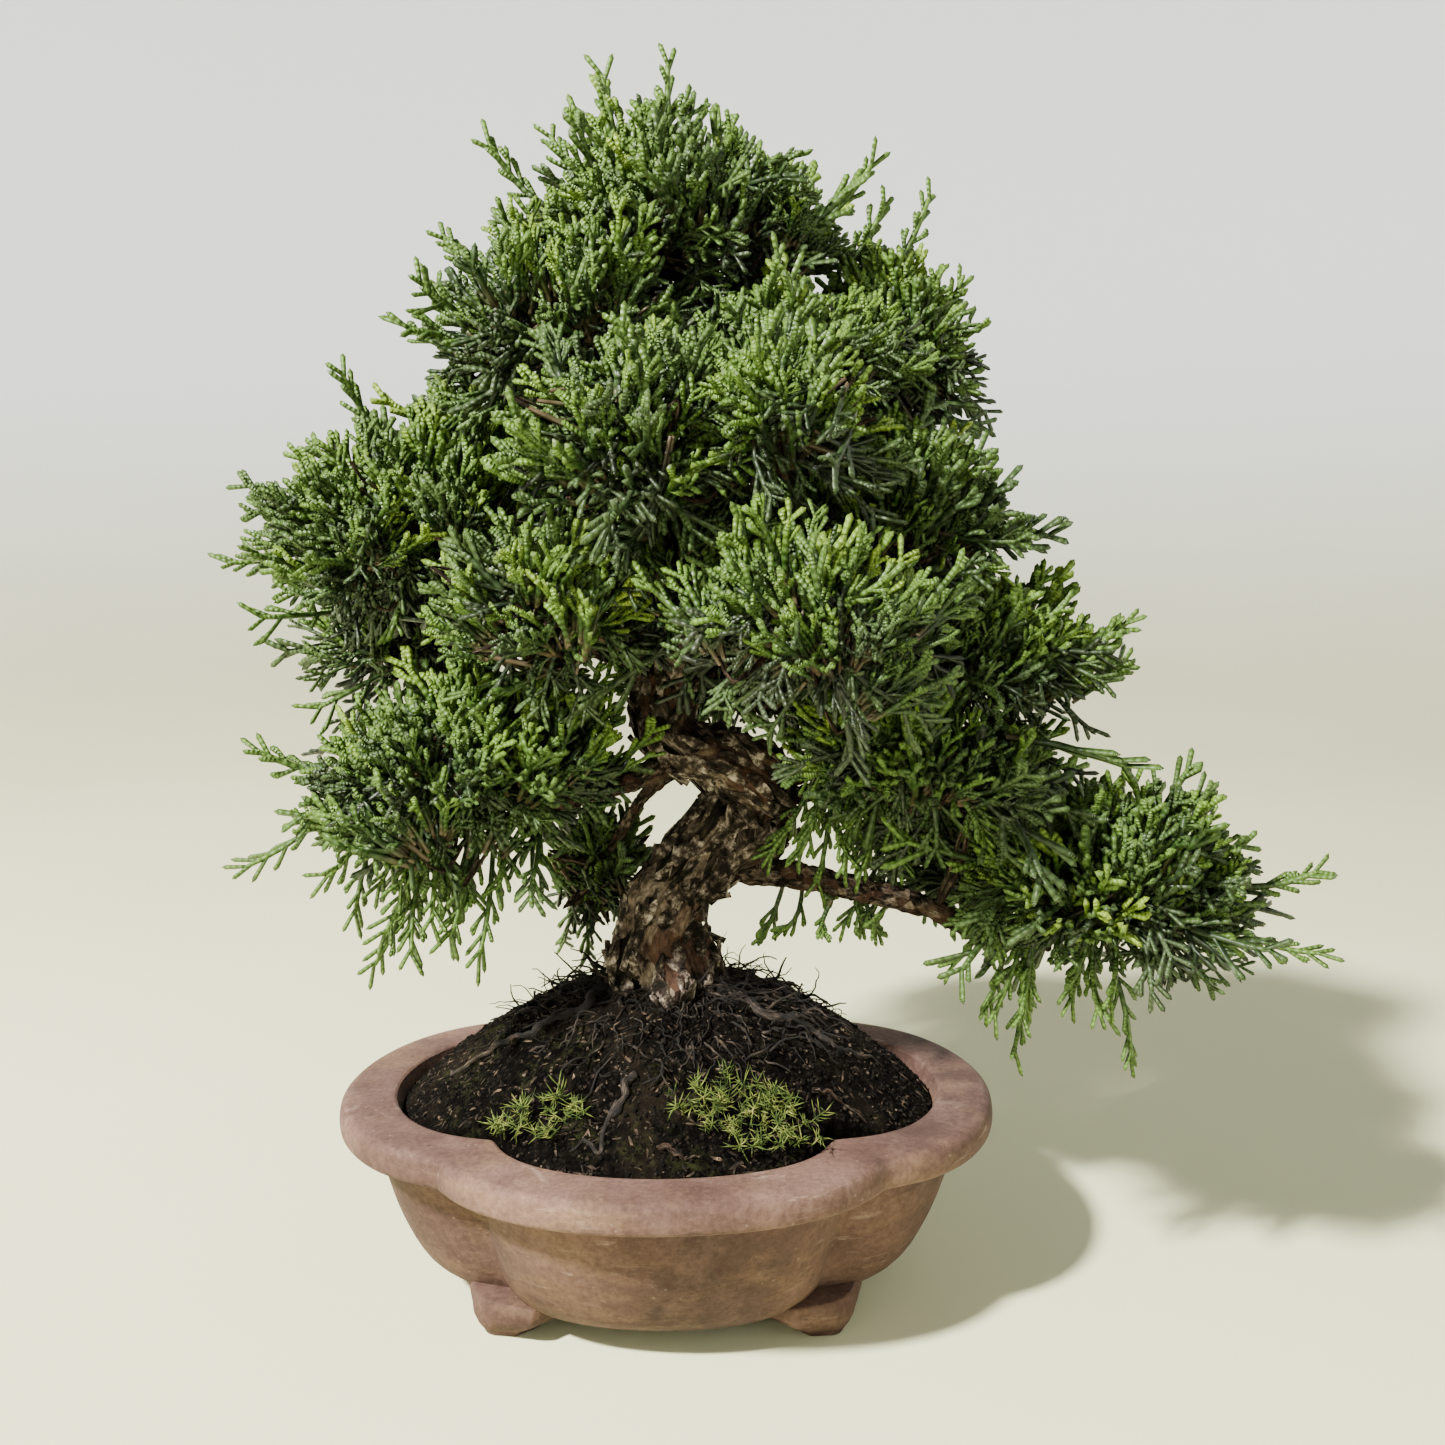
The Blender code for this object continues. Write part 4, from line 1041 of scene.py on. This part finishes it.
# %% [markdown]
# Two small tufts of moss grow near the pot's front. A tuft is a loose crowd of sprigs, each with thin
# leaves that spread like a star, straw-coloured here and there. `add_cord` makes their stems and leaves,
# and later the juniper's shoots too.


# %% Moss tufts
def add_cord(parts, route, sizes, ages, corners):
    """Add a cord to (points, faces, ages): a ring at each stop of its route and a blunt tip at its end."""
    points, faces, young = parts
    first = len(points)
    side = (route[1] - route[0]).orthogonal().normalized()
    for index, (centre, size) in enumerate(zip(route[:-1], sizes)):
        way = (route[index + 1] - centre).normalized()
        side = (side - way * side.dot(way)).normalized()
        other = way.cross(side)
        for corner in range(corners):
            angle = (corner + 0.5) * 2 * math.pi / corners
            points.append(centre + (side * math.cos(angle) + other * math.sin(angle)) * size)
            young.append(ages[0] + (ages[1] - ages[0]) * index / (len(route) - 1))
    points.append(route[-1])
    young.append(ages[1])
    faces += ring_faces(len(route) - 1, corners, first)
    last = first + (len(route) - 2) * corners
    for corner in range(corners):
        faces.append((last + corner, last + (corner + 1) % corners, len(points) - 1))


def sprig_mesh(seed):
    """A stem, one unit tall, with thin curved leaves that spread from it like a star."""
    random.seed(seed)
    parts = ([], [], [])
    tilt = Vector((random.uniform(-0.5, 0.5), random.uniform(-0.5, 0.5), 0))
    stem = [Vector((0, 0, share)) * 0.8 + tilt * share ** 2 for share in (0, 0.5, 0.9, 1)]
    add_cord(parts, stem, (0.03, 0.028, 0.024), (0, 1), 3)
    for leaf in range(11):
        start = stem[0].lerp(stem[-1], random.uniform(0.15, 0.95))
        turn = leaf * 2.4 + random.uniform(-0.4, 0.4)
        out = Vector((math.cos(turn), math.sin(turn), random.uniform(0.1, 0.9))).normalized()
        reach = random.uniform(0.35, 0.8)
        curl = Vector((0, 0, random.uniform(-0.25, 0.35)))
        add_cord(parts, [start, start + out * reach * 0.5, start + (out + curl) * reach], (0.022, 0.028),
                 (0, 1), 3)
    return mesh_from("moss_sprig", parts[0], parts[1])


moss = Finish("moss", roughness=0.8, specular=0.2)
moss_tone = moss.ramp(moss.noise(300, 2), [(0.34, (0.020, 0.036, 0.008)), (0.5, (0.065, 0.098, 0.018)),
                                           (0.64, (0.17, 0.19, 0.045)), (0.78, (0.32, 0.26, 0.11))])
moss.colour(moss_tone)
sprigs = kept_apart("moss_sprigs", [sprig_mesh(seed) for seed in range(6)])


def moss_base(node):
    """The upper skin of a tuft's CAD lump, laid on the soil."""
    shape = merged_copy(node)
    bmesh.ops.subdivide_edges(shape, edges=shape.edges, cuts=1, use_grid_fill=True)
    bmesh.ops.delete(shape, geom=[face for face in shape.faces if face.normal.z < 0.15], context="FACES")
    low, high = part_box(node)
    centre = (low + high) / 2
    for vertex in shape.verts:
        offset = vertex.co - centre
        ragged = 1.05 + 0.5 * noise.noise(offset / (5 * MM))
        place = centre + offset * ragged - pot_axis
        inset = inner_inset(soil_edge) + 5 * MM
        reach = math.hypot(place.x / (pot_width / 2 - inset), place.y / (pot_depth / 2 - inset))
        place /= max(1, reach)
        vertex.co.x, vertex.co.y = pot_axis.x + place.x, pot_axis.y + place.y
        vertex.co.z = ground(vertex.co.x - pot_axis.x, vertex.co.y - pot_axis.y) - 0.3 * MM
    return new_piece(node + "_base", mesh_of(shape, node + "_base"))


for seed, node in enumerate(("moss_tuft_left", "moss_tuft_right")):
    tuft = grow(node + "_blades", moss_base(node), litter,
                {"Shapes": sprigs, "Density": 105000.0, "Smallest": 3.0 * MM, "Largest": 8.0 * MM,
                 "Upright": 0.75, "Seed": 20 + seed, "Material": moss.material})
    hand_over(tuft, None, [node])

# %% [markdown]
# The foliage. This juniper has no needles: its leaves are scales pressed flat on cord-like shoots, which
# fork again and again. One spray is a main cord with short cords left and right of it, and a few tiny
# ones on those. A cord follows a short route, is three- or four-sided and ends bluntly. Its UV map says
# how young each point is, from the woody base (0) to the soft tip (1).


# %% One spray of shoots
def side_cord(parts, start, way, reach, radius, ages):
    """A short straight cord with three corners."""
    route = [start, start + way * reach * 0.84, start + way * reach]
    add_cord(parts, route, (radius * 0.85, radius * 1.08), ages, 3)


def add_spray(parts, route, radius, forks, lean, twigs):
    """A main cord along a route, with forks left and right of it and a few twigs on the first ones."""
    count = len(route) - 1
    sizes = [radius * (1.0 - 0.12 * index / count) for index in range(count)]
    sizes[0], sizes[-1] = radius * 0.8, radius * 0.78
    add_cord(parts, route, sizes, (0.1, 1.0), 4)
    length = sum((after - before).length for before, after in zip(route, route[1:]))
    plane = (route[-1] - route[0]).orthogonal().normalized()
    for fork in range(forks):
        share = 0.2 + 0.68 * fork / max(1, forks - 1)
        stop = share * count
        low = min(int(stop), count - 1)
        start = route[low].lerp(route[low + 1], stop - low)
        main = (route[low + 1] - route[low]).normalized()
        hand = 1 if fork % 2 else -1
        bend = random.uniform(lean * 0.8, lean * 1.2)
        out = Matrix.Rotation(random.uniform(-0.6, 0.6), 3, main) @ (plane - main * plane.dot(main))
        way = (main * math.cos(bend) + out.normalized() * hand * math.sin(bend)).normalized()
        reach = min(length * (0.50 - 0.27 * share), 7.5 * MM) * random.uniform(0.75, 1.2)
        side_cord(parts, start, way, reach, radius * 0.9, (0.2 + 0.4 * share, 1.0))
        if fork < twigs:
            twig = way + main * 0.7 + Vector([random.uniform(-0.4, 0.4) for _ in range(3)])
            side_cord(parts, start + way * (reach * 0.5), twig.normalized(), reach * 0.55, radius * 0.85,
                      (0.55, 1.0))


def shoot_mesh(name, parts):
    points, faces, ages = parts
    mesh = mesh_from(name, points, faces)
    layer = mesh.uv_layers.new(name="OFBake")
    for loop in mesh.loops:
        layer.data[loop.index].uv = (0.5, ages[loop.vertex_index])
    return mesh


def bent_route(length, bend, shares=(0.0, 0.42, 0.8, 0.95, 1.0)):
    return [Vector((bend.x * share ** 2, bend.y * share ** 2, share)) * length for share in shares]


SHOOT_RADIUS = 0.78 * MM
THIN_SHOOT_RADIUS = 0.58 * MM


def spray_source(seed, length, forks, lean, radius):
    random.seed(seed)
    bend = Vector((random.uniform(-0.2, 0.2), random.uniform(-0.2, 0.2)))
    parts = ([], [], [])
    add_spray(parts, bent_route(length, bend), radius, forks, lean, 3)
    return shoot_mesh("spray", parts)


sprays = kept_apart("sprays", [spray_source(seed, (13 + seed % 4) * MM, 5, 0.55, SHOOT_RADIUS)
                               for seed in range(8)])
thin_sprays = kept_apart("thin_sprays", [spray_source(30 + seed, (15 + 2 * (seed % 3)) * MM, 6, 0.62,
                                                      THIN_SHOOT_RADIUS) for seed in range(6)])

# %% [markdown]
# Scale leaves are green cords: brown where they turn to wood, grey-green where they are old, and
# yellow-green at the growing tips. The colour depends only on the UV map: across it on the tint of each
# spray, and up it on age. Both also carry painted light: tufts that point up get a lighter tint, and
# sprays deep in a tuft a darker tint and a smaller age, as painted shade. The scales themselves are a
# fine bump, and the grooves between them are painted darker, as shade.

# %% Scale leaves
leaf = Finish("scale_leaves", roughness=0.45, specular=0.35)
leaf_map = leaf.parts_of(leaf.node("ShaderNodeUVMap", uv_map="OFBake").outputs["UV"])
tint, age = leaf_map["X"], leaf_map["Y"]
old_tone = leaf.ramp(tint, [(0.0, (0.010, 0.015, 0.007)), (0.35, (0.014, 0.030, 0.008)),
                            (0.7, (0.026, 0.066, 0.008)), (1.0, (0.055, 0.125, 0.012))])
young_tone = leaf.ramp(tint, [(0.0, (0.060, 0.086, 0.042)), (0.3, (0.085, 0.155, 0.036)),
                              (0.6, (0.16, 0.29, 0.036)), (0.8, (0.29, 0.43, 0.042)),
                              (1.0, (0.46, 0.58, 0.065))])
green = leaf.mix(leaf.grey(age, 0.30, 0.98), old_tone, young_tone)
# Painted shade: the colour is darkened in the grooves between the scales, in bands along each cord.
scales = leaf.maths("SINE", leaf.product(age, 95.0))
scales = leaf.maths("ADD", leaf.product(scales, 0.5), 0.5)
shade = leaf.ramp(scales, [(0.0, (0.55, 0.58, 0.55)), (0.75, (1, 1, 1)), (1.0, (1.0, 1.0, 1.0))])
green = leaf.mix(0.85, green, shade, "MULTIPLY")
leaf.colour(leaf.mix(leaf.grey(age, 0.05, 0.22), (0.085, 0.055, 0.032), green))
leaf.bump([(scales, 0.22 * MM)])

# %% [markdown]
# The sprays stand in tufts, as on the tree: a dozen of them fan out from one woody twig, and the tufts
# crowd together on the skin of a pad with dark gaps between them. A tuft leans outwards and up to the
# light; under a pad the tufts are thin and hang. Tufts that a neighbouring pad would swallow are left
# out. Python decides where each spray stands, and a Geometry Nodes tree puts the shapes there.


# %% Where the sprays stand
def foliage_tree():
    nodes = NodeTree("foliage", {"Shoots": "collection", "Seed": "int", "Material": "material"})
    given = nodes.given

    def stored(name, kind="FLOAT"):
        return nodes.add("GeometryNodeInputNamedAttribute", {"Name": name}, data_type=kind).outputs[0]

    points = nodes.add("GeometryNodeMeshToPoints", {"Mesh": given["Geometry"]})
    spin = nodes.chance((0, 0, 0), (0, 0, 6.283), 3, "FLOAT_VECTOR")
    turned = nodes.add("FunctionNodeAlignRotationToVector",
                       {"Rotation": spin, "Vector": stored("way", "FLOAT_VECTOR")}, axis="Z")
    real = nodes.set_out(points.outputs[0], given["Shoots"], turned.outputs[0], stored("size"))
    age = nodes.add("ShaderNodeSeparateXYZ", {"Vector": stored("OFBake", "FLOAT_VECTOR")}).outputs["Y"]
    # Painted shade: the age is multiplied by the stored light, so sprays deep in a tuft look older and
    # darker.
    age_with_painted_shade = nodes.maths("MULTIPLY", age, stored("light"))
    tint = nodes.add("ShaderNodeClamp", {"Value": stored("tint"), "Min": 0.01, "Max": 0.99}).outputs[0]
    pair = nodes.add("ShaderNodeCombineXYZ", {"X": tint, "Y": age_with_painted_shade}).outputs[0]
    mapped = nodes.add("GeometryNodeStoreNamedAttribute",
                       {"Geometry": real, "Name": "OFBake", "Value": pair},
                       data_type="FLOAT2", domain="CORNER")
    nodes.finish(mapped.outputs[0], given["Material"])
    return nodes


foliage = foliage_tree()
pad_names = sorted(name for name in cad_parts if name.startswith("foliage_"))
pad_trees, pad_centres = {}, {}
for name in pad_names:
    shape = merged_copy(name)
    bmesh.ops.recalc_face_normals(shape, faces=shape.faces)
    pad_trees[name] = BVHTree.FromBMesh(shape)
    pad_centres[name] = sum(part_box(name), Vector()) / 2
    shape.free()
wood_points = []
for route in list(BRANCHES.values()) + [UPPER_TRUNK]:
    wood_points += [point for point, radius in wood_route(route, 6)][4:]
wood_finder = finder_of(wood_points)
UP = Vector((0, 0, 1))


def within(tree, point):
    """Say whether a point lies inside a closed skin."""
    hit, normal, _, _ = tree.find_nearest(point)
    return hit is not None and (point - hit).dot(normal) < 0


def loose_way(amount):
    return Vector([random.gauss(0, amount) for _ in range(3)])


TUFT_SPACING = 10.5 * MM
SKIN_TRIES = 1600
SWALLOWED = 6                    # mm out of the skin: most tufts inside another pad there are left out
LONGEST_TWIG = 60 * MM


def skin_points(name, spacing):
    """Points of a pad's skin at least a spacing apart, with the way that leads out of the pad there."""
    shape = merged_copy(name)
    bmesh.ops.triangulate(shape, faces=shape.faces)
    faces = [[corner.co.copy() for corner in face.verts] for face in shape.faces]
    weights = [face.calc_area() for face in shape.faces]
    normals = [face.normal.copy() for face in shape.faces]
    shape.free()
    others = [tree for other, tree in pad_trees.items() if other != name]
    picked = []
    for index in random.choices(range(len(faces)), weights, k=SKIN_TRIES):
        first, second = sorted((random.random(), random.random()))
        a, b, c = faces[index]
        point = a * first + b * (second - first) + c * (1 - second)
        if any((point - kept).length < spacing for kept, _ in picked):
            continue
        radial = (point - pad_centres[name]).normalized()
        out = (normals[index] * 0.45 + radial * 0.55).normalized()
        if any(within(tree, point + out * SWALLOWED * MM) for tree in others) and random.random() < 0.85:
            picked.append((point, None))
        else:
            picked.append((point, out))
    return [(point, out) for point, out in picked if out is not None]


# %% Pads that are kept short or lifted
# How far the shoots stay back behind the skin of the outermost pads, in mm
HELD_BACK = {"foliage_crown": 6, "foliage_upper_right": 7, "foliage_back_right": 6, "foliage_right_middle": 5,
             "foliage_far_right": 6, "foliage_left_middle": 4, "foliage_left_low": 5,
             "foliage_left_shoulder": 4, "foliage_back_hanging": 5}

# How far the tufts of a low pad are lifted, in mm: the shoots grow up from its branch
LIFTED = {"foliage_far_right": 6, "foliage_left_low": 4, "foliage_left_middle": 3}


# %% One tuft
def tuft(point, out, held, stems):
    """The sprays of one tuft whose top lies at a skin point, and the twig that carries it."""
    hanging = out.z < -0.3
    sway = 10 * MM * noise.noise(point / (22 * MM)) + random.uniform(-5, 3) * MM - held * MM
    if hanging:
        axis = (out * 0.8 + loose_way(0.3) + Vector((out.x, out.y, 0)) * 0.5).normalized()
        reach, count, spread = random.uniform(22, 30) * MM, 4, 0.55
    else:
        axis = (out + UP * 0.65 + loose_way(0.22)).normalized()
        reach, count, spread = random.uniform(23, 30) * MM, random.randint(10, 14), 0.50
    base = point + out * sway - axis * reach * 1.02
    # Painted light: a tuft that points up gets a lighter tint and one that points down a darker one, on top
    # of its own random tint.
    tuft_tint_and_painted_light = 0.33 + 0.24 * max(-0.5, axis.z) + random.gauss(0, 0.11)
    vigour = random.uniform(0.85, 1.2)
    sprays_here = []
    for _ in range(count):
        open_angle = spread * math.sqrt(random.random())
        turn = random.uniform(0, 2 * math.pi)
        side = axis.orthogonal().normalized()
        side = Matrix.Rotation(turn, 3, axis) @ side
        way = (axis * math.cos(open_angle) + side * math.sin(open_angle)).normalized()
        depth = random.random() ** 1.4
        start = base + way * reach * (0.52 - 0.38 * depth)
        aim = (way + axis * 0.25 + UP * (0.0 if hanging else 0.12) + loose_way(0.10)).normalized()
        size = random.uniform(0.75, 1.2) * vigour * (reach / (26 * MM)) * (1.25 if hanging else 1.0)
        # Painted shade: a spray that starts deep in the tuft gets a smaller light and a darker tint, and the
        # sprays of a hanging tuft get a darker tint than upright ones.
        light = 1.0 - 0.6 * depth
        tint = tuft_tint_and_painted_light + random.gauss(0, 0.07) - 0.10 * depth + (0.05 if not hanging else -0.02)
        sprays_here.append((start, aim, size, tint, light))
    _, index, away = wood_finder.find(base)
    root = wood_points[index]
    if away < LONGEST_TWIG:
        middle = root.lerp(base, 0.55) + Vector((0, 0, -0.08 * away)) + loose_way(0.03) * away
        thick = random.uniform(0.55, 0.85) * MM
        end = base + axis * reach * 0.3
        stems.append([(root, thick * 1.3), (middle, thick), (base, thick * 0.8), (end, thick * 0.5)])
    return sprays_here, hanging


def spray_points(name, sprays_here):
    """A base mesh that has only points, with what the tree needs to know of each."""
    mesh = bpy.data.meshes.new(name)
    mesh.from_pydata([item[0] for item in sprays_here], [], [])
    ways = mesh.attributes.new("way", "FLOAT_VECTOR", "POINT")
    for value, item in zip(ways.data, sprays_here):
        value.vector = item[1]
    for slot, label in enumerate(("size", "tint", "light"), 2):
        layer = mesh.attributes.new(label, "FLOAT", "POINT")
        for value, item in zip(layer.data, sprays_here):
            value.value = item[slot]
    return new_piece(name, mesh)


def joined(name, pieces):
    """Several plain pieces as one."""
    shape = bmesh.new()
    for piece in pieces:
        shape.from_mesh(piece.data)
    mesh = mesh_of(shape, name)
    for slot in pieces[0].data.materials:
        mesh.materials.append(slot)
    for piece in pieces:
        bpy.data.objects.remove(piece, do_unlink=True)
    mesh.shade_smooth()
    for label in ("way", "size", "tint", "light"):
        if label in mesh.attributes:
            mesh.attributes.remove(mesh.attributes[label])
    return new_piece(name, mesh)


# %% Cover every pad
twig_stems = []
for seed, name in enumerate(pad_names):
    random.seed(seed * 11)
    full, thin = [], []
    for point, out in skin_points(name, TUFT_SPACING):
        point = point + UP * LIFTED.get(name, 0) * MM
        sprays_here, hanging = tuft(point, out, HELD_BACK.get(name, 0), twig_stems)
        (thin if hanging else full).extend(sprays_here)
    short = name.replace("foliage_", "")
    grown = []
    for kind, stand, shapes in (("full", full, sprays), ("thin", thin, thin_sprays)):
        if stand:
            grown.append(grow(f"{kind}_{short}", spray_points(f"{kind}_{short}_points", stand), foliage,
                              {"Shoots": shapes, "Seed": seed, "Material": leaf.material}))
    hand_over(joined(f"shoots_{short}", grown), None, [name])

# %% [markdown]
# Brown twigs carry the tufts. Each runs from the nearest branch to a tuft's foot, so the pads have an
# inside that shows through their gaps and below them.


# %% Twigs inside the pads
def twig_stations(stem):
    route = [(*point, radius) for point, radius in stem]
    return [(Vector(stop[:3]), stop[3]) for stop in eased(route, 2)]


twigs = tube_piece("fine_twigs", [wood_tube(twig_stations(stem), 4, relief=False) for stem in twig_stems])
hand_over(twigs, bark.material)

# %% [markdown]
# Here and there a vigorous shoot outgrows its pad. Chance could place these runners, but they give the
# tree its outline, so each is listed one by one: where it starts inside a pad and where its tip is, in mm
# from the pot's axis and from the table.

# %% Runners
RUNNERS = [
    ((-8, -4, 306), (-17, -6, 339)), ((4, 0, 308), (1, -3, 343)), ((-30, -8, 302), (-47, -12, 319)),
    ((-42, -10, 284), (-59, -16, 294)), ((-48, -8, 268), (-66, -14, 283)),
    ((-76, -8, 240), (-88, -12, 259)), ((-97, -12, 213), (-118, -20, 207)), ((66, 14, 262), (84, 12, 286)),
    ((62, 12, 284), (75, 12, 311)), ((50, 12, 290), (62, 10, 308)), ((40, 6, 300), (58, 5, 318)),
    ((14, 2, 310), (18, 0, 327)), ((-20, -4, 308), (-31, -8, 322)), ((104, -14, 182), (127, -18, 191)),
    ((104, -16, 172), (124, -26, 180)), ((157, -24, 119), (178, -28, 124)),
    ((150, -34, 112), (172, -46, 106)), ((98, -28, 104), (94, -38, 77)), ((120, -30, 104), (125, -40, 75)),
    ((-66, -28, 132), (-77, -40, 100)), ((-88, -26, 142), (-112, -34, 126)),
    ((-46, -28, 134), (-48, -44, 104)), ((-86, -22, 150), (-108, -34, 158)),
    ((34, -34, 254), (32, -50, 278)), ((24, -26, 262), (30, -40, 284)), ((-2, -62, 244), (-8, -76, 262)),
    ((30, -62, 236), (40, -76, 252)), ((62, -22, 220), (82, -36, 232)), ((36, -82, 198), (52, -98, 204)),
    ((88, -22, 186), (104, -40, 196)), ((60, 60, 222), (78, 74, 238)), ((-44, 60, 236), (-58, 74, 252)),
    ((18, 66, 178), (20, 92, 186)), ((-6, 30, 308), (-12, 40, 328)), ((34, 40, 290), (44, 56, 304)),
    ((-24, 44, 116), (-26, 52, 96)), ((-84, 36, 190), (-104, 46, 200)),
]

# %% Drooping shoots
# Whole bunches of them hang under the low pads: (start, tip, how many)
DROOPS = [
    ((98, -26, 122), (90, -34, 96), 8), ((114, -30, 116), (108, -38, 90), 6),
    ((-64, -26, 142), (-68, -38, 117), 7), ((-48, -28, 142), (-52, -40, 118), 5),
    ((-80, -22, 144), (-86, -32, 124), 5), ((56, -10, 152), (52, -18, 126), 6),
    ((46, -10, 152), (42, -14, 128), 7), ((38, -2, 117), (36, -8, 108), 3),
    ((52, -8, 115), (58, -14, 106), 3), ((68, 4, 126), (62, -2, 106), 5), ((84, 10, 122), (86, 8, 102), 4),
    ((-24, 42, 108), (-26, 46, 88), 4),
]
for start, tip, count in DROOPS:
    for shoot in range(count):
        random.seed(f"droop {start} {shoot}")
        shift = Vector([random.uniform(-9, 9) for _ in range(3)])
        flare_out = Vector([random.uniform(-7, 7) for _ in range(3)])
        RUNNERS.append((tuple(Vector(start) + shift * 0.6), tuple(Vector(tip) + shift + flare_out)))


def runner_route(start, tip):
    """A shoot that bows to one side and sags a little on its way."""
    bow = (tip - start).cross(UP)
    bow = (bow.normalized() if bow.length > MM else Vector((1, 0, 0))) * random.uniform(-3, 3) * MM
    shares = (0.0, 0.2, 0.4, 0.6, 0.8, 0.95, 1.0)
    return [start.lerp(tip, share) + bow * math.sin(math.pi * share) - UP * 2 * MM * math.sin(math.pi * share)
            for share in shares]


# %% Grow the runners
RUNNER_RADIUS = 0.92 * MM
DROOP_RADIUS = 0.75 * MM
RUNNER_TINT = 0.46
random.seed(77)
parts = ([], [], [])
for start, tip in RUNNERS:
    start, tip = (pot_axis + Vector(place) * MM for place in (start, tip))
    add_spray(parts, runner_route(start, tip), DROOP_RADIUS if tip.z < start.z else RUNNER_RADIUS, 9, 0.55, 5)
runner_mesh = shoot_mesh("runner_shoots", parts)
for item in runner_mesh.uv_layers["OFBake"].data:
    item.uv.x = RUNNER_TINT
hand_over(new_piece("runner_shoots", runner_mesh), leaf.material)

# %% [markdown]
# The fittings under the soil: black plastic mesh over the drain holes, wire clips, and the wire that
# ties the root ball down. Nobody sees them unless the tree is lifted, so they keep the frame's shapes and
# only get their finish here.

# %% Screens and wires
plastic = Finish("black_plastic", roughness=0.5, specular=0.4)
plastic.colour(plastic.ramp(plastic.noise(300, 3), [(0.3, (0.012, 0.012, 0.013)), (0.7, (0.03, 0.03, 0.03))]))
metal = Finish("dull_wire", roughness=0.42)
metal.shader.inputs["Metallic"].default_value = 1.0
metal.colour(metal.ramp(metal.noise(500, 3), [(0.3, (0.30, 0.24, 0.19)), (0.7, (0.50, 0.44, 0.38))]))
for node, material in (("drain_screen_left", plastic), ("drain_screen_right", plastic),
                       ("screen_clip_left", metal), ("screen_clip_right", metal),
                       ("tie_down_wire", metal)):
    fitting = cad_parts[node]
    fitting.data.materials.clear()
    fitting.data.materials.append(material.material)

# %% [markdown]
# The studio: a pale dish whose rim rises to a backdrop on every side, a key light from the upper left,
# and a soft fill. The rim glows faintly, as a lit wall does. The camera stands close, a little above the
# pot, as someone would look at it on a table.

# %% Floor and backdrop
dish_profile = [(1.0, 0.0), (1.4, 0.01), (1.9, 0.08), (2.3, 0.25), (2.6, 0.55), (2.75, 1.0), (2.8, 1.6),
                (2.8, 2.3)]
DISH_STEPS = 96
points, faces = [(0, 0, 0)], []
for radius, z in eased(dish_profile, 8):
    for step in range(DISH_STEPS):
        angle = 2 * math.pi * step / DISH_STEPS
        points.append((radius * math.cos(angle), radius * math.sin(angle), z))
for step in range(DISH_STEPS):
    faces.append((0, 1 + step, 1 + (step + 1) % DISH_STEPS))
for row in range(len(points) // DISH_STEPS - 1):
    for step in range(DISH_STEPS):
        low, after = 1 + row * DISH_STEPS, (step + 1) % DISH_STEPS
        faces.append((low + step, low + DISH_STEPS + step, low + DISH_STEPS + after, low + after))
floor = new_piece("floor", mesh_from("floor", points, faces))
paper = Finish("pale_floor", roughness=0.9, specular=0.1)
height = paper.parts_of(paper.place)["Z"]
paper.colour(paper.mix(paper.grey(height, 0.0, 0.5),
                       paper.ramp(paper.noise(3, 2), [(0.3, (0.66, 0.66, 0.42)), (0.7, (0.70, 0.70, 0.46))]),
                       (0.72, 0.74, 0.76)))
glow = paper.ramp(height, [(0.05, (0, 0, 0)), (0.6, (0.17, 0.17, 0.17))])
paper.join(glow, paper.shader.inputs["Emission Strength"])
paper.shader.inputs["Emission Color"].default_value = (0.93, 0.97, 1.0, 1)
floor.data.materials.append(paper.material)


# %% Lights
def add_light(name, place, aim, power, size, colour):
    light = bpy.data.lights.new(name, "AREA")
    light.shape = "DISK"
    light.size = size
    light.energy = power
    light.color = colour
    holder = bpy.data.objects.new(name, light)
    bpy.context.scene.collection.objects.link(holder)
    holder.location = place
    holder.rotation_euler = (aim - place).to_track_quat("-Z", "Y").to_euler()
    return holder


TREE_MIDDLE = Vector((0, 0, 0.15))
add_light("key", Vector((-1.25, -1.15, 1.70)), TREE_MIDDLE, 265, 0.20, (1.0, 0.965, 0.90))
add_light("fill", Vector((1.6, -1.4, 1.1)), TREE_MIDDLE, 2, 1.6, (0.92, 0.96, 1.0))
world = bpy.data.worlds.new("studio")
world.use_nodes = True
sky = world.node_tree.nodes["Background"].inputs
sky["Color"].default_value = (0.93, 0.96, 1.0, 1)
sky["Strength"].default_value = 0.13
bpy.context.scene.world = world

# %% Camera
CAMERA_FROM_POT = Vector((15.9 * MM, -413.5 * MM, pot_height + 153.4 * MM))
LOOKS_DOWN = math.radians(6.5)
camera_data = bpy.data.cameras.new("camera")
camera_data.lens = 36.05
camera_data.sensor_width = 36
camera_data.clip_start = 0.01
camera = bpy.data.objects.new("camera", camera_data)
bpy.context.scene.collection.objects.link(camera)
camera.location = pot_axis + CAMERA_FROM_POT
camera.rotation_euler = Euler((math.radians(90) - LOOKS_DOWN, 0, 0))
bpy.context.scene.camera = camera
